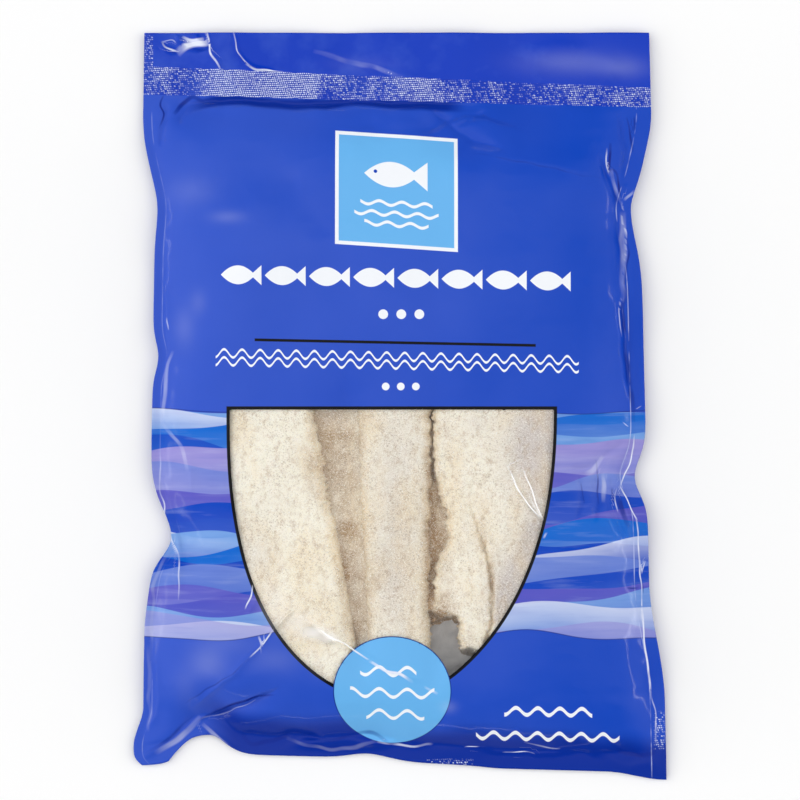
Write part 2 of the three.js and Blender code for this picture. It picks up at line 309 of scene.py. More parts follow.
# Each has its form, the smooth path that it runs along, its width and its height. A ridge is sharp, a
# swell is soft, and a step drops to the right of its path, here and there with a softness of its own.
# A height below 0 turns a ridge or a swell into a valley.
CREASES = [
    # the header
    ("ridge", [(-120, 184), (-117, 180), (-112, 178)], 1.1, 2.2),
    ("ridge", [(-113, 187), (-108, 182), (-98, 180)], 1.6, 2.5),
    ("ridge", [(-104, 188), (-101, 184), (-96, 181)], 1.6, 2.0),
    ("ridge", [(-96.9, 190), (-96.2, 182), (-92, 173), (-88, 168)], 0.9, 1.9),
    ("step", [(-96.7, 190), (-96.2, 182), (-92, 173), (-88, 168)], 5, 1.1),
    ("ridge", [(-83, 188), (-82.6, 180), (-79, 174), (-72.6, 169.8), (-60, 169.4)], 0.9, 1.5),
    ("step", [(-83, 188), (-82.6, 178), (-78, 173), (-71, 168), (-60, 169)], 5, 0.9),
    ("ridge", [(-38, 176), (-18, 171), (2, 166)], 4, 1.1),
    ("swell", [(58, 178), (88, 173), (118, 168)], 9, 2.2),
    ("swell", [(-60, 184), (-20, 180), (30, 184)], 8, -1.2),
    # under the top seal
    (
        "step",
        [(30, 149), (12, 151), (0, 150.5), (-22, 152.5), (-40, 150), (-60, 150.5), (-92, 152), (-108, 147)],
        8,
        3.6,
        2.4,
    ),
    ("swell", [(32, 153), (0, 154.6), (-30, 156.6), (-60, 156), (-92, 156.6), (-110, 152)], 3.0, -2.4),
    ("ridge", [(-96, 156), (-108, 150), (-112, 141)], 3, -1.5),
    ("ridge", [(-118, 153), (-119, 142), (-121, 130)], 2.2, -1.6),
    ("step", [(60, 139), (40, 145), (27, 144), (20, 139), (4, 136)], 6, 1.6),
    ("ridge", [(14, 150), (24, 143), (36, 134), (52, 129)], 3.5, -2.2),
    ("ridge", [(28, 141), (38, 145), (44, 148)], 1.8, -1.4),
    ("swell", [(-40, 142), (-18, 146), (8, 141)], 6, 1.6),
    ("step", [(38, 126), (70, 121), (104, 114)], 8, 0.5),
    ("swell", [(-108, 110), (-90, 100), (-60, 104)], 14, 1.4),
    ("swell", [(-60, 120), (-48, 100), (-34, 84)], 9, -1.2),
    # the right side
    (
        "step",
        [(99, 131), (99.5, 124), (104, 112), (109.5, 103), (111.5, 92), (111.5, 78), (111, 55)],
        4,
        1.9,
        0.5,
    ),
    ("step", [(110.5, 62), (110.5, 48), (111.5, 28), (114, 12), (117, 0)], 4, -2.2),
    ("ridge", [(110, 146), (111, 137), (113, 128), (111, 116)], 1.4, -1.5),
    ("ridge", [(99.5, 128), (102, 117), (108, 106), (110, 101)], 1.3, -1.9),
    ("ridge", [(112, 112), (116, 107), (119, 101)], 1.8, 1.3),
    ("ridge", [(113.5, 100), (114, 80), (115, 60), (113.5, 48)], 1.2, 1.5),
    ("ridge", [(119, 24), (121, 6), (118, -6)], 2.2, 1.4),
    ("swell", [(96, 70), (92, 40), (98, 14)], 9, 1.2),
    # right of the window
    ("ridge", [(120, -12), (115, -26), (111, -40)], 1.2, 2.2),
    ("ridge", [(111, -40), (114, -50), (119, -60)], 1.2, 2.2),
    ("step", [(78, -20), (90, -17), (101, -17)], 3, 0.8),
    ("ridge", [(101, -18), (113, -14), (121, -8)], 2, 1.1),
    ("ridge", [(82, -32), (96, -30), (106, -22), (113, -18)], 2.2, -1.8),
    ("ridge", [(88, -34), (90, -44), (88, -56)], 1.5, -1.5),
    ("ridge", [(97, -32), (98.5, -44), (96, -58)], 1.6, -1.7),
    ("ridge", [(106, -38), (106, -50), (110, -60), (114, -66)], 2, -2.0),
    ("swell", [(72, -64), (92, -66), (110, -72)], 6, 1.1),
    # over the fillets
    ("ridge", [(53, -29), (58, -40), (63, -48.5), (71, -56.6)], 1.1, 1.8),
    ("ridge", [(60, -29), (63.5, -37), (67, -47), (71.3, -56.6)], 1.0, 1.7),
    ("ridge", [(52.5, -29), (57, -27), (61, -26)], 0.9, 1.0),
    ("ridge", [(-50, -104), (-44, -109), (-38, -115), (-30, -119)], 5, 0.8),
    ("ridge", [(-40, -113), (-20, -123), (-2, -132.5), (14, -137)], 1.6, 0.9),
    ("ridge", [(-42, -118), (-40, -128), (-39, -136)], 1.2, -0.6),
    # left of the window
    ("ridge", [(-119, 62), (-117, 30), (-119, 4), (-117, -8)], 3, 1.2),
    ("ridge", [(-120, -32), (-112, -67), (-110, -96)], 2, 1.5),
    ("ridge", [(-114, -8), (-106, -26), (-104, -44)], 3.2, 0.9),
    ("ridge", [(-69, -88), (-72, -96), (-76, -104)], 1.4, 0.9),
    ("ridge", [(-64, -111), (-70, -119), (-86, -135), (-104, -151)], 1.5, 1.5),
    ("ridge", [(-52, -100), (-60, -108), (-70, -117)], 1.1, 1.2),
    # the bottom
    ("step", [(-100, -158), (-90, -153), (-76, -147), (-64, -141)], 5, 2.4, 0.5),
    ("ridge", [(-98, -158), (-84, -152), (-70, -145.5), (-62, -141)], 1.3, -1.6),
    ("ridge", [(-100, -160), (-90, -166), (-80, -173)], 1.6, 1.4),
    ("ridge", [(-131, -178), (-116, -168), (-101, -158)], 3.2, 1.8),
    ("ridge", [(-124, -178), (-108, -168), (-98, -163)], 2.2, -1.6),
    ("ridge", [(-124, -126), (-122, -148), (-128, -166)], 2.6, 1.4),
    ("ridge", [(-78, -163), (-66, -169), (-54, -164), (-38, -168)], 2.2, -1.8),
    ("swell", [(-52, -170), (-30, -168), (-8, -172)], 4, 2.0),
    ("ridge", [(-30, -174), (-6, -168), (14, -170)], 2.2, 1.3),
    ("ridge", [(34, -171), (58, -174), (90, -173), (112, -172)], 2.2, 1.2),
    ("ridge", [(44, -176), (70, -179), (100, -178)], 3.4, -1.4),
    ("ridge", [(104, -168), (114, -173), (121, -178)], 4.5, -1.6),
    ("swell", [(20, -150), (24, -134), (30, -120)], 7, 1.0),
    ("swell", [(104, -104), (112, -140), (108, -160)], 8, 1.4),
]
CREASE_STEPS = 6  # straight pieces between two points of a crease's path
CREASE_REACH = 5  # widths of a crease beyond which it adds nothing
CREASE_WANDER = 0.9
STEP_SOFTNESS = 0.9

PUCKERS = 0.5  # height of the puckers along the seams
PUCKER_REACH = 26
PUCKER_SPACING = 11
RIPPLE = 0.26
CRUMPLE = 0.1

# Highlights painted along sharp folds, where they would catch the light: path, half width and strength
HIGHLIGHT_LINES = [
    # the header
    ([(-96.9, 188), (-96.3, 180.2), (-94.1, 174.9), (-90.5, 169.5)], 0.55, 1.0),
    ([(-83.4, 188), (-82.9, 179.3), (-80.3, 175.2), (-75, 169.8)], 0.45, 0.8),
    ([(-78, 172), (-73.2, 169), (-66, 169.2), (-58, 168.8)], 0.75, 1.1),
    ([(-119.5, 184.5), (-117, 180.8), (-111.5, 178.4), (-109.6, 181.5)], 0.6, 1.1),
    ([(-120, 184), (-115, 184.6), (-112.5, 182.4)], 0.4, 0.8),
    ([(-112, 177.6), (-107.5, 181), (-102, 183), (-97, 183.6)], 2.1, 1.0),
    ([(-110, 186), (-105, 184.5), (-99, 185)], 1.0, 0.7),
    ([(-44, 179), (-20, 172.5), (2, 165.5)], 1.6, 0.12),
    ([(-8, 168.6), (2, 165.6)], 0.7, 0.8),
    # the right side
    ([(105, 119.5), (106.9, 111.4), (111.6, 102)], 1.3, 0.22),
    ([(103.2, 130), (102.6, 122), (104, 116.5)], 0.45, 0.5),
    ([(111.6, 103.5), (111.2, 93.8), (114.3, 86), (113, 76), (112.4, 66)], 0.5, 0.6),
    ([(111.4, 98), (112.2, 86), (112.3, 72), (111.6, 60), (111.2, 52)], 1.9, 0.3),
    ([(110.9, 56), (110.2, 46), (110.8, 34)], 0.4, 0.45),
    ([(117.8, 108.5), (113, 103.5)], 0.8, 0.3),
    # right of the window
    ([(118.2, -14), (114.8, -28.8), (110.7, -40.9)], 0.45, 0.85),
    ([(110.5, -40.4), (114.4, -48.5), (119.2, -57)], 0.5, 1.2),
    ([(118.6, -55), (120.2, -72.9), (121.2, -84.9), (121.5, -106.8)], 0.45, 1.0),
    ([(121.4, -100), (122.9, -117.5), (125.2, -130.9), (126.5, -147.1)], 0.6, 1.0),
    ([(126, -142), (128.4, -156.1), (129.1, -170.3)], 0.45, 0.6),
    ([(108.9, -41.8), (107.6, -46.1), (108.6, -53)], 0.35, 0.5),
    ([(112.2, -7.6), (115, -9.8)], 0.3, 0.7),
    ([(118.2, -2), (121, -0.4)], 0.3, 0.7),
    ([(122.9, -77.6), (122, -85)], 0.35, 0.6),
    ([(102, -25), (97, -31), (92, -34)], 1.6, 0.25),
    ([(101.5, -33), (102.4, -40), (101.6, -48)], 1.4, 0.25),
    # left of the window
    ([(-113.5, 28), (-117, 19), (-117.6, 6), (-119.4, -8)], 1.2, 0.22),
    ([(-119.2, -7.4), (-113.9, -14.5), (-109.8, -19.9), (-106.5, -32.5)], 1.1, 0.25),
    (
        [(-120.4, -24), (-120, -44.2), (-115.2, -66.6), (-111.6, -74.7), (-111, -85.5), (-111.6, -97)],
        0.5,
        0.6,
    ),
    ([(-114.5, -70), (-121.9, -83.7), (-124.6, -98.8), (-125.6, -128)], 1.0, 0.14),
    ([(-117.3, 45), (-115.8, 38.4)], 0.35, 0.4),
    ([(-73.2, -89), (-74, -94.5), (-77, -101)], 0.45, 1.0),
    ([(-63, -110.5), (-68.4, -117.4), (-75.5, -125)], 0.5, 1.0),
    ([(-71, -114), (-69.8, -116.4), (-69, -119)], 0.7, 0.9),
    # the foot
    ([(-100.8, -157), (-87.4, -154.2), (-82.2, -151.2), (-71.9, -146.8)], 0.4, 0.25),
    ([(-100.4, -156), (-107.4, -164.2), (-123, -174.6)], 1.9, 0.28),
    ([(-99.6, -160), (-92.7, -165.9), (-85.7, -171.4)], 1.2, 0.3),
    ([(-127.3, -120), (-126.4, -139.2), (-126, -152), (-126.6, -163)], 1.2, 0.14),
    ([(-58, -166.4), (-44, -171), (-25, -172), (-12, -167.4)], 1.1, 0.16),
    ([(-13, -168), (2, -170.6), (16, -170.4)], 0.7, 0.5),
    ([(33, -171.2), (39, -171.4)], 0.35, 0.7),
    ([(52, -173.8), (60, -174), (68, -174.2)], 0.35, 0.7),
    ([(62, -168.6), (70, -170.6), (81, -171.8)], 0.4, 0.35),
    # over the window and the badge
    ([(53, -28.5), (58, -40), (63, -48.5), (71, -57)], 0.55, 1.1),
    ([(60, -29), (63.5, -37), (67, -47), (71.3, -57)], 0.45, 1.0),
    ([(52, -29), (57, -27), (61.5, -26)], 0.35, 0.6),
    ([(73.2, -62.4), (71.6, -65.4)], 0.6, 0.8),
    ([(-40, -112), (-24.3, -120.4), (-14.7, -127), (-8, -130.5)], 0.6, 0.9),
    ([(-16, -126.4), (-8, -130.6), (-0.1, -134), (6, -137)], 0.95, 1.0),
    ([(12.5, -139.6), (19, -143.2)], 0.8, 0.6),
]
# Lines where a deep fold has shaded the print
DARK_LINES = [
    ([(-119, 157.5), (-120.7, 151.8), (-119.7, 146.2), (-121.4, 140)], 0.6, 0.8),
    ([(-114.5, 147), (-109, 153), (-104.8, 156.4), (-99, 152.8)], 1.2, 0.7),
    ([(105.2, 133), (104.4, 125), (103.6, 117)], 0.95, 0.9),
    ([(105.4, 120), (108.5, 116.4), (110, 109.1), (111.6, 103.4)], 0.8, 0.9),
    ([(114, 145), (115.4, 136), (116.4, 127.4)], 0.6, 0.8),
    ([(118.2, 145.5), (117, 138.4)], 0.6, 0.7),
    ([(114.6, 88), (114.8, 78), (113.9, 68.3), (112.7, 56.7)], 0.6, 0.7),
    ([(112.6, 60), (112.2, 48), (112.6, 34), (114.6, 14), (117.6, -8)], 1.5, 0.75),
    ([(36, 126.8), (70, 120.5), (104, 113)], 0.6, 0.25),
    ([(108.7, -42.2), (110.4, -51.8), (114.5, -61)], 1.7, 0.6),
    ([(89.8, -38), (90.9, -45.4), (91.6, -48.2)], 0.45, 0.65),
    ([(97.6, -27.4), (99.4, -39.8), (98.6, -49.2)], 0.55, 0.6),
    ([(105.9, -41.6), (107, -48.4)], 0.5, 0.6),
    ([(114, -91.6), (120, -90)], 0.6, 0.7),
    ([(121.8, -88), (122.4, -94)], 0.5, 0.6),
    ([(-102, -158.6), (-89.2, -151.4), (-75.3, -146), (-63.4, -144)], 0.85, 0.9),
    ([(-103.5, -155.6), (-114.3, -165.4), (-128, -175)], 1.2, 0.4),
    ([(-74.9, -124.4), (-90, -137), (-107.8, -149)], 0.5, 0.4),
    ([(-80, -163.6), (-73.6, -170.3), (-62.4, -166.8), (-49, -163)], 1.4, 0.5),
    ([(-49, -164.6), (-34, -167.4), (-16, -164), (-6, -168.6)], 1.2, 0.45),
    ([(106.5, -170.8), (119.3, -175.4), (125.6, -175.6), (129, -171.6)], 1.5, 0.55),
]
# Soft glare on the film, as spots
GLARE = [
    (86, 173, 24, 6, 0.1),
    (112, 170, 12, 5, 0.08),
    (-20, 172, 16, 4, 0.03),
    (-104, 108, 12, 7, 0.05),
    (-86, 94.5, 8, 3, 0.08),
    (-108, 40, 5, 9, 0.06),
    (-101, 52, 4, 6, 0.05),
    (-96, -128, 9, 8, 0.1),
    (-62, -126, 12, 6, 0.05),
    (-86, -118, 14, 5, 0.04),
    (-108, -140, 6, 9, 0.04),
    (-43, -112.5, 6, 3.2, 0.8),
    (-36, -116, 4, 2.4, 0.6),
    (-52, -107, 8, 5, 0.35),
    (-62, -98, 8, 10, 0.16),
    (-41, -124, 4, 7, 0.12),
    (61, -42, 4, 9, 0.12),
    (67, -50, 4, 6, 0.16),
    (98, -38, 12, 9, 0.05),
    (24, -150, 4, 3, 0.1),
]
LINE_FADE = (1.3, 2.6)  # where a line's strength starts to fall, and where it ends, in mm beside it
LINE_REACH = 20
FAR_FROM_LINES = 9.0  # half widths
WIDEST_LINE = 2


def smooth_path(points):
    """A curve through the points, as short straight pieces."""
    points = np.array(points, float)
    ends = np.vstack([2 * points[0] - points[1], points, 2 * points[-1] - points[-2]])
    curve = []
    for before, start, stop, after in zip(ends, ends[1:], ends[2:], ends[3:]):
        for step in range(CREASE_STEPS):
            t = step / CREASE_STEPS
            pull = (stop - before) * t
            bend = (2 * before - 5 * start + 4 * stop - after) * t**2
            twist = (3 * start - before - 3 * stop + after) * t**3
            curve.append(start + (pull + bend + twist) / 2)
    return np.array([*curve, points[-1]])


def beside_path(curve, x, y):
    """The distance from a path, above 0 on its left, and the share of its length passed."""
    lengths = np.hypot(*np.diff(curve, axis=0).T)
    before = np.concatenate([[0], np.cumsum(lengths)])
    nearest = np.full(x.shape, np.inf)
    share = np.zeros(x.shape)
    for (x0, y0), (x1, y1), length, passed in zip(curve, curve[1:], lengths, before):
        dx, dy = (x1 - x0) / length, (y1 - y0) / length
        along = np.clip((x - x0) * dx + (y - y0) * dy, 0, length)
        off_x, off_y = x - x0 - along * dx, y - y0 - along * dy
        distance = np.hypot(off_x, off_y)
        signed = np.where(dx * off_y - dy * off_x < 0, -distance, distance)
        closer = distance < np.abs(nearest)
        nearest = np.where(closer, signed, nearest)
        share = np.where(closer, (passed + along) / before[-1], share)
    return nearest, share


def near_path(curve, reach, x, y):
    """Which places lie within a path's own box, widened by a reach."""
    low, high = curve.min(0) - reach, curve.max(0) + reach
    return (x > low[0]) & (x < high[0]) & (y > low[1]) & (y < high[1])


def crease_height(x, y, form, path, width, height, softness=STEP_SOFTNESS):
    """A crease's height over the film, highest and widest halfway along it."""
    curve = smooth_path(path)
    near = near_path(curve, CREASE_REACH * width, x, y)
    total = np.zeros(x.shape)
    if not near.any():
        return total
    off, share = beside_path(curve, x[near], y[near])
    across = np.abs(off) / (width * (0.55 + 0.45 * np.sin(np.pi * np.clip(share, 0, 1))))
    if form == "ridge":
        profile = np.exp(-(across**1.25))
    elif form == "swell":
        profile = np.exp(-(across**2))
    else:
        profile = off / (np.abs(off) + softness) * np.exp(-across)
    ends = smoothstep(share, -0.02, 0.22) * (1 - smoothstep(share, 0.78, 1.02))
    total[near] = height * profile * (0.15 + 0.85 * ends)
    return total


def wandering(x, y):
    return x + CREASE_WANDER * noise(x / 7, y / 7, 31), y + CREASE_WANDER * noise(x / 7 + 9, y / 7, 32)


def beside_lines(lines, x, y):
    """How many half widths a place is beside the nearest line, and how strong the line is there."""
    x, y = wandering(x, y)
    broken = np.clip(0.95 + 0.7 * noise(x / 5, y / 5, 33), 0.35, 1.3)
    gap, strength = np.full(x.shape, FAR_FROM_LINES), np.zeros(x.shape)
    for path, half_width, strong in lines:
        curve = smooth_path(path)
        near = near_path(curve, LINE_REACH, x, y)
        if not near.any():
            continue
        off, share = beside_path(curve, x[near], y[near])
        side = np.abs(off) - np.minimum(half_width, WIDEST_LINE)
        faded = strong * (1 - smoothstep(side, *LINE_FADE)) * np.sin(np.pi * np.clip(share, 0, 1)) ** 0.6
        closer = np.abs(off / half_width) < np.abs(gap[near])
        gap[near] = np.where(closer, off / half_width, gap[near])
        strength[near] = np.where(closer, faded, strength[near])
    return gap, np.clip(strength * broken, 0, 1)


def seam_puckers(x, y):
    """Puckers that run inwards from the seams, where the flat film has to turn."""
    total = np.zeros(x.shape)
    for number, distance in enumerate(inside_seams(x, y)):
        along = y if number < 2 else x
        waves = noise(along / PUCKER_SPACING, np.clip(distance, 0, None) / 60 + 7 * number, 11 + number)
        fine = noise(along / (PUCKER_SPACING * 0.45), distance / 40 + 3 * number, 21 + number)
        fade = smoothstep(distance, -3, 4) * np.exp(-np.clip(distance, 0, None) / PUCKER_REACH)
        total = total + (waves + 0.4 * fine) * fade
    return PUCKERS * total


def fine_height(x, y):
    """What the film's creases, puckers and ripples add to its smooth height."""
    wander_x, wander_y = wandering(x, y)
    creases = sum(crease_height(wander_x, wander_y, *crease) for crease in CREASES)
    ripple = RIPPLE * (noise(x / 24, y / 30, 41) + 0.6 * noise(x / 12 + 5, y / 14, 42))
    crumple = CRUMPLE * (1 - 2 * np.abs(noise(wander_x / 9, wander_y / 8, 43)))
    edge = smoothstep(np.minimum(x - left_edge(y), right_edge(y) - x), 0, 8)
    edge = edge * smoothstep(y - bottom_edge(x), 0, 8)
    return (creases + seam_puckers(x, y) + ripple + crumple) * edge


def film_height(x, y):
    height = smooth_height(x, y) + fine_height(x, y) + SHEET / 2
    return np.maximum(height, back_height(x, y) + SHEET)


# The shade below the top seal: its middle, and how far beside that it starts and stops to fade
SHADED_FOLD = [
    (34, 150),
    (12, 152),
    (0, 151.5),
    (-22, 153.5),
    (-40, 152),
    (-60, 152.5),
    (-92, 153.5),
    (-108, 150),
]
FOLD_SHADE_EDGE = (1.6, 3.4)
FOOT_SHADE_START = (-104, -82)  # the foot's shade grows from its left end between these


def painted_fold_shade(x, y):
    """How much shade is painted where the film turns away from the front: along its foot and under the top
    seal.
    """
    _, _, bottom, _ = inside_seams(x, y)
    foot = 1 - smoothstep(bottom + 2.5 * noise(x / 17, y / 30, 61), 3, 13)
    foot = foot * smoothstep(x, *FOOT_SHADE_START)
    off, share = beside_path(smooth_path(SHADED_FOLD), x, y)
    fold = 1 - smoothstep(np.abs(off + 0.7 * noise(x / 9, y / 9, 62)), *FOLD_SHADE_EDGE)
    fold = fold * smoothstep(share, 0, 0.08)
    return np.clip(foot * smoothstep(bottom, -12, -9) + fold * (1 - smoothstep(share, 0.9, 1)), 0, 1)


# ---- The window ---------------------------------------------------------------------------------


def badge_distance(x, y):
    """The distance outside the printed badge, below 0 in it."""
    dx, dy = (x - BADGE["x"]) / BADGE["across"], (y - BADGE["y"]) / BADGE["along"]
    return (np.hypot(dx, dy) - 1) * BADGE["along"]


def window_distance(x, y):
    """The distance inside the window's edge, below 0 outside it."""
    on_left = x < WINDOW_MIDDLE
    reach, across, down = (np.where(on_left, WINDOW_LEFT[key], WINDOW_RIGHT[key]) for key in WINDOW_CURVE)
    u = np.maximum(np.abs(x - WINDOW_MIDDLE) / reach, 1e-4)
    v = np.maximum((WINDOW_TOP - y) / WINDOW_DEPTH, 1e-4)
    slope = np.hypot(across / reach * u ** (across - 1), down / WINDOW_DEPTH * v ** (down - 1))
    inside = (1 - u**across - v**down) / np.maximum(slope, 1e-4)
    above_tip = y - BADGE["y"]
    return np.minimum.reduce([inside, WINDOW_TOP - y, badge_distance(x, y), above_tip])


# ---- The fillets --------------------------------------------------------------------------------

FILLET_HEAD = WINDOW_TOP + 10  # a fillet runs on under the print above the window
END_ROUND = (9, 6)
CLEFT = [(33, -40), (37, -56), (43, -74), (45.5, -92), (45, -108), (43, -118)]
CLEFT_WIDTH, CLEFT_DEPTH = 0.8, 3.0
CLEFT_TEAR = 1.7  # how far on each side of the cleft the flesh is torn
FIRST_SEED, SEED_STEP = 100, 20  # of the fillets' uneven shapes, one after another
SIDES = ("left", "right")
RAGGED_STEPS = ((4.7, 0.5), (1.9, 0.5), (0.9, 0.4))  # length and share of each wave of a torn side
SMOOTH_RUN = 14  # over which a torn side gets smooth
RAGGED_FOOT = 0.8
WALL_STEPS = 9
SUNK = 3.7  # level of a fillet's foot end, which lies under the inner film

# Each fillet's sides are x at the window's top edge and level with its tip. The lengths run on a
# little under the print, where the solid model stops at the window, and the fillets below run on
# under their neighbours. A side's round is how far in it starts and how far it falls. What is grey or
# stained goes from its share at the left side to that at the right, and lumps are spots. The brown on
# the fillets below, which lie in their neighbours' shade, is partly painted shade.
FILLETS = [
    {
        "name": "fillet_left",
        "sink": (0.6, 0.6),
        "left": {"top": -92, "foot": -84, "round": (9, 6), "torn": 0},
        "right": {"top": -42.5, "foot": -17, "round": (6, 5), "torn": 1.9, "smooth_below": -52},
        "foot": -150,
        "stain": (0.0, 0.02),
        "grey": (0.1, 0.0),
    },
    {
        "name": "fillet_under_left",
        "sink": (9.0, 4.0),
        "left": {"top": -46, "foot": -21, "round": (2, 1), "torn": 0},
        "right": {"top": -18, "foot": -12.5, "round": (2, 1), "torn": 0},
        "foot": -136,
        "stain": (0.3, 0.2),
        "grey": (0.3, 0.2),
    },
    {
        "name": "fillet_middle",
        "sink": (0.9, 0.6),
        "left": {"top": -21.9, "foot": -15.2, "round": (7, 3.4), "torn": 0.9},
        "right": {"top": 16.6, "foot": 14.4, "round": (5.5, 6.5), "torn": 1.2},
        "foot": -136,
        "stain": (0.1, 0.06),
        "grey": (0.25, 0.4),
    },
    {
        "name": "fillet_under_right",
        "sink": (9.0, 9.0),
        "left": {"top": 11, "foot": 11, "round": (2, 1), "torn": 0},
        "right": {"top": 22, "foot": 22, "dents": RIGHT_OF_GAP, "round": (3, 2), "torn": 0},
        "foot": -113,
        "ragged_foot": 3.4,
        "lumps": [(20.5, -102, 8, 7, 6.5), (17, -96, 3, 4, 1.5)],
        "stain": (0.6, 0.5),
        "grey": (0.0, 0.0),
    },
    {
        "name": "fillet_right",
        "sink": (0.8, 0.6),
        "left": {"top": 15.8, "foot": 16.6, "dents": TORN_FLAP, "round": (4, 3), "torn": 1.5},
        "right": {"top": 92, "foot": 64, "round": (9, 6), "torn": 0},
        "foot": -129,
        "lumps": [(20, -34.5, 5, 2.6, 2.6), (26, -36, 4, 2, 1.0)],
        "cleft": CLEFT,
        "stain": (0.04, 0.0),
        "grey": (0.1, 1.0),
    },
]
# Tanned and greyer parts of the flesh, as spots. The tan spots along the fillets' edges and gaps are partly
# painted shade.
STAINS_AND_SHADE = [
    (-30, -22, 6, 14, 0.3),
    (-25.5, -60, 6, 4.5, 0.4),
    (-24, -82, 5, 14, 0.15),
    (-40, -32, 4, 24, 0.25),
    (-50, -24, 6, 8, 0.14),
    (-56, -47, 5, 6, 0.1),
    (14.5, -37, 2.6, 36, 0.45),
    (14, -82, 2.6, 24, 0.4),
    (-21, -22, 4, 16, 0.16),
    (-14, -86, 6, 9, 0.32),
    (-17, -107, 6, 8, 0.2),
    (25, -17, 8, 14, 0.12),
    (35, -57, 9, 16, 0.12),
    (23.5, -80, 5, 12, 0.22),
    (22, -98, 5, 6, 0.5),
    (20, -105, 4, 3, 0.4),
    (27.5, -103, 1.4, 7, 0.5),
    (-28.5, -92, 2.6, 26, 0.3),
    (-22, -108, 3, 12, 0.35),
    (37, -120, 6, 6, 0.15),
    (45.5, -84, 1.6, 10, 0.8),
    (41.5, -68, 1.4, 6, 0.4),
    (-45, -30, 2.5, 16, 0.3),
]
GREYS = [
    (67, -22, 12, 18, 0.8),
    (69, -67, 8, 9, 1.3),
    (53, -97, 9, 18, 0.7),
    (-3, -37, 9, 30, 0.3),
    (-2, -86, 9, 24, 0.4),
    (76, -30, 8, 30, 0.5),
    (60, -88, 8, 14, 0.7),
    (51, -110, 5, 10, 0.5),
    (38, -8, 6, 6, 0.3),
    (-70, -77, 10, 22, 0.3),
    (-34, -6, 9, 6, 0.5),
]


# ---- Meshes -------------------------------------------------------------------------------------


def new_object(name, points, faces, material, smooth=True):
    """A mesh object at the origin, made from points in millimetres."""
    mesh = bpy.data.meshes.new(name)
    mesh.from_pydata((np.asarray(points) * MM).tolist(), [], faces)
    mesh.materials.append(material)
    mesh.polygons.foreach_set("use_smooth", [smooth] * len(mesh.polygons))
    mesh.update()
    made = bpy.data.objects.new(name, mesh)
    bpy.context.scene.collection.objects.link(made)
    return made


def stacked(x, y, z):
    """A list of points from their x, y and z over a grid."""
    return np.stack([x, y, z], -1).reshape(-1, 3)


def grid_faces(rows, columns):
    """The corners of every four-sided face of a grid, facing up."""
    first = (np.arange(rows - 1)[:, None] * columns + np.arange(columns - 1)).ravel()
    return np.stack([first, first + 1, first + columns + 1, first + columns], 1)


def split_faces(faces, distance):
    """Halves four-sided faces, each between the two corners that are nearer to a line."""
    near = distance[faces]
    first = (near[:, 0] + near[:, 2] <= near[:, 1] + near[:, 3])[:, None]
    return np.vstack(
        [
            np.where(first, faces[:, [0, 1, 2]], faces[:, [1, 2, 3]]),
            np.where(first, faces[:, [0, 2, 3]], faces[:, [0, 1, 3]]),
        ]
    )


def used_only(points, faces):
    """The points that faces use, and the faces on them."""
    used, corners = np.unique(faces, return_inverse=True)
    return points[used], corners.reshape(faces.shape)


def add_layers(made, layers):
    """Stores named values on a mesh's points."""
    for name, values in layers.items():
        attribute = made.data.attributes.new(name, "FLOAT", "POINT")
        attribute.data.foreach_set("value", values.astype(np.float32).ravel())


def add_lines(made, points, **kinds):
    """Stores how each point lies beside the folds' lines, and how much glare it has."""
    x, y = points[:, 0], points[:, 1]
    layers = {"glare": spots(GLARE, x, y)}
    for name, lines in kinds.items():
        layers[name + "_gap"], layers[name + "_strength"] = beside_lines(lines, x, y)
    add_layers(made, layers)


def finished(made, slot, *nodes):
    """Says what a piece moves with and which solids it stands for; slot, what it is made of, is not used."""
    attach(made, BODY)
    if nodes:
        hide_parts(*nodes)


def pouch_grid(low, high, row_pitch, column_pitch):
    """x and y over a band of the pouch. Height 0 is its foot, 1 and 2 the seal's edges, 3 its top."""
    columns = int(round((BOTTOM_RIGHT[0] - BOTTOM_LEFT[0]) / column_pitch)) + 1
    share = np.linspace(0, 1, columns)
    foot_x = lerp(BOTTOM_LEFT[0], BOTTOM_RIGHT[0], share)
    lines = [
        bottom_edge(foot_x),
        seal_edge(TOP_SEAL_LOW, foot_x),
        seal_edge(TOP_SEAL_HIGH, foot_x),
        np.full(columns, TOP_Y),
    ]
    length = float(np.mean(lines[high] - lines[low]))
    rows = int(round(length / row_pitch)) + 1
    y = lerp(lines[low], lines[high], np.linspace(0, 1, rows)[:, None])
    x = lerp(left_edge(y), right_edge(y), share)
    return x, y


def rim_skirt(points, rows, columns, sides):
    """Extra points and faces that close a sheet's rim down to the sheet below it."""
    index = np.arange(rows * columns).reshape(rows, columns)
    runs = {"bottom": index[0], "right": index[:, -1], "top": index[-1, ::-1], "left": index[::-1, 0]}
    extra, faces = [], []
    for side in sides:
        run = runs[side]
        start = len(points) + sum(len(e) for e in extra)
        below = points[run].copy()
        below[:, 2] -= SHEET
        extra.append(below)
        under = np.arange(start, start + len(run))
        faces.append(np.stack([run[:-1], under[:-1], under[1:], run[1:]], 1))
    return np.vstack([points, *extra]), np.vstack(faces)


# ---- Shader maths -------------------------------------------------------------------------------


